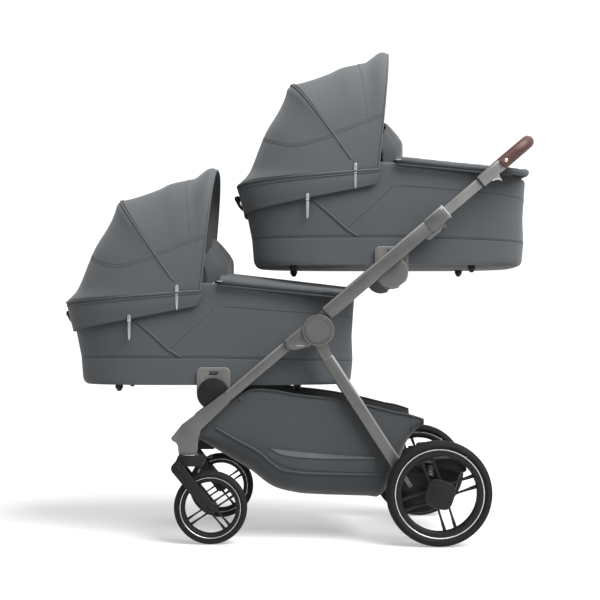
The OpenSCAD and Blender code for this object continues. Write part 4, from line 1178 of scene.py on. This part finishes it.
pad_bm = puffed(lofted([mattress_ring(*level) for level in MATTRESS_LEVELS]), "pad", 0.006, 3.0, 0.005)
piping_bm = tube_along(mattress_ring(0.018, 0.0005), 0.0022, 8, closed=True)
for cot in COTS:
    bed = fitted(pad_bm, cot, "bed", liner_cloth, stands_for="mattress", smooth=60)
    fitted(piping_bm, cot, "bed_piping", liner_cloth)

# Canopies: slate cloth stretched over two sprung bows, with a stiff peak sewn to the front bow.
# The rear panel runs down to the band, and a corded ridge covers the main bow.
canopy_cloth = cloth("canopy_cloth", (0.074, 0.082, 0.089), (0.109, 0.120, 0.129))
tree = canopy_cloth.node_tree
# Faces that look into the carrycot are pale: a lining, painted lighter to lift the shade inside the hood.
face_side = node(tree, "Attribute")
face_side.attribute_name = "lining_and_fill_light"
color = tree.nodes["Principled BSDF"].inputs["Base Color"]
lined_and_lit = mixed_color(tree, face_side.outputs["Fac"], color.links[0].from_socket, (0.255, 0.265, 0.270))
tree.links.new(lined_and_lit, color)
PIVOT, CANOPY_W, BOW_POWER = Vector((-0.091, 0, 0.263)), 0.2127, 2.7
FRONT_BASE = PIVOT + Vector((0.040, 0, 0.002))
PEAK_BASE = FRONT_BASE + Vector((0.014, 0, 0.002))


def from_pivot(reach, degrees):
    turn = math.radians(degrees)
    return PIVOT + Vector((reach * math.cos(turn), 0, reach * math.sin(turn)))


def canopy_lines(tops, base, base_end, rows, columns=80, power_end=BOW_POWER):
    """Arches of a canopy panel through its top line, from the bow it starts on."""
    tops = spread(spline([from_pivot(*t) for t in tops], 160), rows)
    lines = []
    for i, top in enumerate(tops):
        power = BOW_POWER + (power_end - BOW_POWER) * i / rows
        lines.append(arch(base.lerp(base_end, i / rows), top, CANOPY_W, power, columns))
    return lines


REAR = [
    (0.333, 125.6), (0.331, 128), (0.317, 131.5), (0.301, 139.5), (0.2975, 152), (0.298, 162),
    (0.307, 173.5), (0.320, 179.2), (0.346, 183.8),
]
FRONT = [
    (0.333, 125), (0.322, 119.5), (0.316, 113), (0.3175, 104.4), (0.3265, 98.2), (0.3330, 90.5),
    (0.3326, 88.2),
]
PEAK = [
    (0.3354, 89.6), (0.3405, 85.6), (0.357, 82.6), (0.373, 80.1), (0.379, 77.8), (0.3755, 76.0),
]
CANOPY = {
    "rear": canopy_lines(REAR, PIVOT, PIVOT, 40, power_end=PLAN_POWER),
    "front": canopy_lines(FRONT, PIVOT, FRONT_BASE, 28)[::-1],
    "peak": canopy_lines(PEAK, FRONT_BASE, PEAK_BASE, 10)[::-1],
}
main_top, front_top = from_pivot(0.333, 125.6), from_pivot(0.334, 90.5)


def traced_round(tree, center, keys, count):
    """A line drawn round a piece, seen from an upright line inside it, through (degrees, height) keys."""
    rays = []
    for turn, z, _ in spline([(*key, 0) for key in keys], count):
        out = Vector((math.cos(math.radians(turn)), math.sin(math.radians(turn)), 0))
        rays.append((Vector((*center, z)) + out * 0.8, -out))
    return drawn_on(tree, rays, 0.8)


def mark_lining_and_fill_light(bm):
    """Marks the faces of a canopy panel that look into the carrycot: a pale lining, painted light to lift the
    shade inside the hood.
    """
    mark = bm.faces.layers.float.new("lining_and_fill_light")
    bm.normal_update()
    for face in bm.faces:
        spot = face.calc_center_median()
        face[mark] = float(face.normal.dot(Vector((PIVOT.x - spot.x, -spot.y, PIVOT.z + 0.06 - spot.z))) > 0)


# The wave cloth on the canopies' seam ridges is a little darker than the canopy cloth: painted shade along the
# seams.
wave_cloth = cloth("wave_cloth", (0.066, 0.073, 0.079), (0.097, 0.107, 0.115), 6000, 300)
CANVAS_T = {"rear": 0.0024, "front": 0.0024, "peak": 0.0026}
panels = {kind: sewn(lines, CANVAS_T[kind]) for kind, lines in CANOPY.items()}
for panel, _, _ in panels.values():
    mark_lining_and_fill_light(panel)
trees = {kind: BVHTree.FromBMesh(panel) for kind, (panel, _, _) in panels.items()}
threads, seams = {kind: [] for kind in CANOPY}, {kind: [] for kind in CANOPY}
SEAM_DROPS = (0, 0.0035, 0.007)


def sew(kind, line, normals, drop):
    """Marks a canopy panel's decorative seam: stitches between two thin ridges, by how low the line lies."""
    if drop == SEAM_DROPS[1]:
        threads[kind].append(stitch_row(line, normals, 0.0003, 0.0010))
    else:
        seams[kind].append(tube_along(line, 0.0009, 6))


WAVE = [
    (-62, 0.372), (-80, 0.351), (-98, 0.340), (-118, 0.355), (-140, 0.372), (-165, 0.380), (-180, 0.382),
]
WAVE += [(-360 - turn, z) for turn, z in reversed(WAVE[:-1])]
SWEEP = [(-0.158, 0.374), (-0.120, 0.386), (-0.075, 0.404), (-0.022, 0.424)]
for drop in SEAM_DROPS:
    sew("rear", *traced_round(trees["rear"], (-0.25, 0), [(t, z - drop) for t, z in WAVE], 220), drop)
    for side in (-1, 1):
        for kind, count in (("front", 40), ("peak", 60)):
            sew(kind, *traced(trees[kind], [(x, z - drop) for x, z in SWEEP], side, count), drop)
threads, seams = [{kind: joined(parts) for kind, parts in group.items()} for group in (threads, seams)]
ridge = canopy_lines([(0.3342, 125.3), (0.3342, 125.2)], PIVOT, PIVOT, 1, 120)[0]
ridge_bm = tube_along(ridge[5:-5], 0.0026, 8)
ditch = canopy_lines([(0.3334, 124.2), (0.3334, 124.1)], PIVOT, PIVOT, 1, 120)[0]
ditch_bm = tube_along(ditch[6:-6], 0.0013, 6)
binding_bm = tube_along(CANOPY["peak"][0], 0.0026, 10)
bow_lean = math.radians(88)
bow_dir = Vector((-math.sin(bow_lean), 0, math.cos(bow_lean))) * 0.008
bow_line = arch(PIVOT, from_pivot(0.3268, 88), 0.2055, BOW_POWER, 80)
bow_bm = sewn([[p + bow_dir * k for p in bow_line] for k in (-1, -0.4, 0.4, 1)], 0.0026)[0]


def canopy_panel(cot, kind, name, stands_for, body=None):
    """One panel of a canopy with the stitches and seams on it."""
    bm, cut, area = panels[kind]
    panel = fitted(bm, cot, name, canopy_cloth, body, stands_for, 55)
    sewing = fitted(threads[kind], cot, kind + "_stitches", seam_thread, body)
    seam = fitted(seams[kind], cot, kind + "_seams", wave_cloth, body)
    declared(cut, area)
    return panel, sewing, seam


for cot, at in COTS.items():
    broken_copy(cot + "_main_bow", 0.0005, black_plastic)
    head = at + Vector((-0.448, 0, 0.25))
    for obj in canopy_panel(cot, "rear", "rear_cloth", "rear_panel"):
        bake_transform(obj, cot + "_cot", cot + "_canopy_middle", start=head, end=at + main_top)
    for obj in canopy_panel(cot, "front", "front_cloth", "front_panel"):
        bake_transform(obj, cot + "_canopy_middle", cot + "_canopy_front", start=at + main_top, end=at + front_top)
    fitted(ridge_bm, cot, "bow_ridge", canopy_cloth, "canopy_middle")
    fitted(ditch_bm, cot, "bow_seam", seam_cloth, "canopy_middle")
    binding = fitted(binding_bm, cot, "peak_binding", canopy_cloth, "canopy_front")
    canopy_panel(cot, "peak", "peak", "visor", "canopy_front")
    fitted(bow_bm, cot, "front_bow", black_plastic, "canopy_front")

# Canopy bands: a doubled strip of cloth round the head end that the rear panel is sewn to.
# Two cords run along its top, its lower hem stands off the tub, and a black clip holds it at the head.
BAND_START, BAND_END, BAND_DEPTH, BAND_TAPER, BAND_ROUND = -0.032, -0.440, 0.085, 0.045, 0.026


def band_line(share):
    """The band at a share of its depth, round the head from its left end to its right end."""
    end_x = BAND_END + 0.020 * share
    plan = arch(Vector((BAND_START, 0, 0)), Vector((end_x, 0, 0)), CANOPY_W, PLAN_POWER, 120)
    line = []
    for p in plan:
        along = (p.x - end_x) / (BAND_START - end_x)
        top = COT_H - 0.051 + 0.029 * along
        depth = BAND_DEPTH - BAND_TAPER * along
        end = max(0.0, (p.x - BAND_START + BAND_ROUND) / BAND_ROUND)
        depth *= 1 - 0.55 * (1 - math.sqrt(max(0.0, 1 - end * end)))
        out = Vector((min(0, p.x + 0.25), p.y, 0)).normalized() * 0.0022 * math.sin(math.pi * share)
        line.append(Vector((p.x, p.y, top - depth * share)) + out)
    return line


band_bm, band_cut, band_area = sewn([band_line(i / 14) for i in range(15)], 0.0030)
band_cords = joined([tube_along(band_line(s), r, 10) for s, r in ((0.03, 0.0036), (0.16, 0.0022))])
band_hem = joined([tube_along(band_line(1.0), 0.0016, 8), tube_along(band_line(0.105), 0.0020, 6)])
hem_line = band_line(0.91)[2:-2]
hem_normals = [Vector((min(0, p.x + 0.25), p.y, 0)).normalized() for p in hem_line]
band_threads = stitch_row(hem_line, hem_normals, 0.0002, 0.0010)
CLIP = [
    (-0.4290, 0.2100), (-0.4400, 0.2125), (-0.4490, 0.2110), (-0.4510, 0.2030), (-0.4470, 0.1960),
    (-0.4400, 0.1830), (-0.4300, 0.1720), (-0.4240, 0.1700), (-0.4250, 0.1760), (-0.4330, 0.1880),
    (-0.4360, 0.1990), (-0.4300, 0.2030),
]
clip_bm = slab(CLIP, 0.036, 0.0016, facing(1, Vector((0, -0.018, 0))))
for cot in COTS:
    band = fitted(band_bm, cot, "band", slate_cloth, stands_for="canopy_band", smooth=55)
    trims = [
        fitted(band_cords, cot, "band_cords", slate_cloth), fitted(band_hem, cot, "band_hem", seam_cloth),
        fitted(band_threads, cot, "band_stitches", seam_thread),
    ]
    declared(band_cut, band_area)
    fitted(clip_bm, cot, "head_clip", black_plastic)

# Aprons: padded covers over the foot end with a thick rolled edge, and a wind flap that stands up in front.
# The roll laps over the tub's rim, and the zip that holds it ends in a small bright slider.
APRON_W, APRON_FRONT, FLAP_W, CORNER_CUT = COT_HALF_W + 0.005, 0.016, 0.178, 0.062


def apron_crown(y):
    return 0.018 * (1 - min(1, abs(y) / 0.186) ** 2.4)


def apron_point(run, v, lift=0.0):
    """A place on the apron's top: run from its front edge to the foot end, v from left to right."""
    x = APRON_FRONT + (FOOT_X - 0.004 - CORNER_CUT * abs(v) ** 5 - APRON_FRONT) * run
    swell = apron_crown(APRON_W * v) * (1.4 - 0.4 * run)
    return Vector((x, APRON_W * v, tub_z(min(x, FOOT_X)) + 0.0003 + swell + lift))


apron_lines = [[apron_point(1 - i / 24, -1 + j / 20, 0.0085) for j in range(41)] for i in range(25)]
cover_bm, _, _ = sewn(apron_lines, 0.0075, 0)
sides = [[apron_point(i / 30, s, 0.0030) + Vector((0, s * 0.0030, 0)) for i in range(31)] for s in (-1, 1)]
foot_edge = [apron_point(1, -1 + j / 40, 0.0045) + Vector((0.002, 0, 0)) for j in range(2, 79)]
roll = spread(sides[0] + foot_edge + sides[1][::-1], 160)
# Dark zip tapes run under the roll's sides: zips, and painted shade for the shadow under the roll.
zip_shadow_lines = [[p + Vector((0, math.copysign(0.0042, p.y), -0.0108)) for p in side] for side in sides]
zip_shadow_bm = joined([tube_along(line, 0.0028, 8) for line in zip_shadow_lines])
front_roll = spread([apron_point(0, -1 + j / 40, 0.0050) for j in range(81)], 60)
rolled = joined([cover_bm, tube_along(roll, 0.0088, 14), tube_along(front_roll, 0.0058, 12)])
apron_bm = puffed(rolled, "cover", 0.0045, 3.0, 0.005)


def flap_line(rise):
    """The wind flap at a share of its height, from left to right."""
    line = []
    for j in range(61):
        v = -1 + j / 30
        lean = 0.050 * max(0.0, (rise - 0.40) / 0.60) ** 1.3 * (1 - 0.7 * abs(v) ** 3)
        foot = tub_z(0.030) + 0.0096 + 1.4 * apron_crown(FLAP_W * v) - 0.014 * abs(v) ** 4 * (1 - rise)
        height = (0.058 + 0.046 * (1 - abs(v) ** 2.5)) * rise
        fold = 0.0022 * math.sin(34 * v) * abs(v) * rise
        line.append(Vector((0.040 - lean - CORNER_CUT * abs(v) ** 5 + fold, FLAP_W * v, foot + height)))
    return line


# The wind flap's cloth is darker than the slate cloth: painted shade for the canopy's shadow that falls on it.
flap_shade_cloth = cloth("flap_shade_cloth", (0.036, 0.040, 0.043), (0.054, 0.060, 0.064))
flap_bm, flap_cut, flap_area = sewn([flap_line(1 - i / 16) for i in range(17)], 0.0034)
rim_line = [flap_line(i / 16)[0] for i in range(16)] + flap_line(1)
rim_line += [flap_line(1 - i / 16)[-1] for i in range(1, 17)]
flap_edge_bm = tube_along(rim_line, 0.0026, 8)
SLIDER_X, SLIDER_Y = 0.018, 0.2145
sliders = rounded(0.016, 0.0032, 4, 32)
slider_bm = joined(plates(sliders, 0.0036, 0.0007, SLIDER_X, SLIDER_Y, tub_z(SLIDER_X) + 0.0055))
for cot in COTS:
    cover = fitted(apron_bm, cot, "apron_cover", slate_cloth, stands_for="apron", smooth=60)
    flap = fitted(flap_bm, cot, "wind_flap", flap_shade_cloth, smooth=55)
    flap_edge = fitted(flap_edge_bm, cot, "flap_edge", flap_shade_cloth)
    declared(flap_cut, flap_area)
    fitted(slider_bm, cot, "apron_sliders", spring_steel)
    fitted(zip_shadow_bm, cot, "apron_zip_shadows", basket_trim)

# Zip pulls: die-cast sliders with long flat tabs, one pair at the canopy's zip and one at the band's.
# Each tab hangs from a loop on its slider.
ZIPS = [(-0.102, COT_H - 0.012), (-0.236, COT_H - 0.096)]
SLIDER = [
    (-0.0048, -0.014), (0.0048, -0.014), (0.0048, 0.001), (0.0030, 0.006), (-0.0030, 0.006),
    (-0.0048, 0.001),
]
TAB = [
    (-0.0036, 0.025), (0.0036, 0.025), (0.0040, 0.010), (0.0030, -0.018), (0, -0.027), (-0.0030, -0.018),
    (-0.0040, 0.010),
]
PULL = (
    (SLIDER, 0, 0.0034, 0.0009), (rounded(0.0030, 0.0120, 4, 20), 0.006, 0.0050, 0.0008),
    (TAB, 0.040, 0.0024, 0.0007), (rounded(0.0034, 0.0280, 7, 40), 0.040, 0.0030, 0.0005),
)
pulls = []
for x, z in ZIPS:
    across = ((BAND_START - x - 0.006) / (BAND_START - BAND_END)) ** PLAN_POWER
    y = CANOPY_W * (1 - across) ** (1 / PLAN_POWER) + 0.0005
    for outline, below, thickness, bevel in PULL:
        pulls += plates(outline, thickness, bevel, x, y, z - below)
pulls_bm = joined(pulls)
for cot in COTS:
    fitted(pulls_bm, cot, "zip_tabs", spring_steel, stands_for="zip_pulls")

# Stage: a pale floor that runs out of sight, soft white light all round and a level camera.
# The camera stands square to the pram's left side, as far off as the photograph's perspective shows.
floor_bm = bmesh.new()
bmesh.ops.create_grid(floor_bm, x_segments=1, y_segments=1, size=30)
floor_paint = skin("floor_paint", (0.78, 0.78, 0.78), (0.80, 0.80, 0.80), 0.7, 0.8, 0.4, 3, 0.0)
shader = floor_paint.node_tree.nodes["Principled BSDF"]
shader.inputs["Emission Color"].default_value = (1, 1, 1, 1)
shader.inputs["Emission Strength"].default_value = 0.30
floor = linked("floor", mesh_from(floor_bm, "floor"))
floor.data.materials.append(floor_paint)
floor.visible_diffuse = False

world = bpy.data.worlds.new("studio")
bpy.context.scene.world = world
world.use_nodes = True
backdrop = world.node_tree.nodes["Background"]
backdrop.inputs["Color"].default_value = (1, 1, 1, 1)
seen = world.node_tree.nodes.new("ShaderNodeLightPath").outputs["Is Camera Ray"]
glow = node(world.node_tree, "MapRange", {1: 0.0, 2: 1.0, 3: 0.36, 4: 1.0}, {0: seen})
world.node_tree.links.new(glow.outputs[0], backdrop.inputs["Strength"])
bpy.context.scene.view_settings.view_transform = "Standard"
bpy.context.scene.view_settings.exposure = 0.2


def softbox(name, at, aim, size, watts):
    lamp = bpy.data.lights.new(name, "AREA")
    lamp.shape = "RECTANGLE"
    lamp.size, lamp.size_y = size
    lamp.energy = watts
    made = linked(name, lamp)
    made.location = at
    made.rotation_euler = (Vector(aim) - Vector(at)).to_track_quat("-Z", "Y").to_euler()


softbox("top", (0.7, -0.8, 3.0), (0, 0, 0.7), (2.0, 1.2), 34)
softbox("back", (1.6, 2.4, 2.2), (0, 0, 0.7), (1.8, 1.8), 14)
key = linked("key", bpy.data.lights.new("key", "SUN"))
key.data.energy = 2.45
key.data.angle = math.radians(38)
key.rotation_euler = Vector((-0.55, 0.50, -0.75)).to_track_quat("-Z", "Y").to_euler()

camera = linked("camera", bpy.data.cameras.new("camera"))
camera.data.lens = 69.8
camera.data.sensor_width = 36
camera.data.shift_x = 0.0083
camera.data.shift_y = 0.05
camera.location = (-0.006, -3.47, 0.595)
camera.rotation_euler = (math.radians(90), 0, 0)
bpy.context.scene.camera = camera
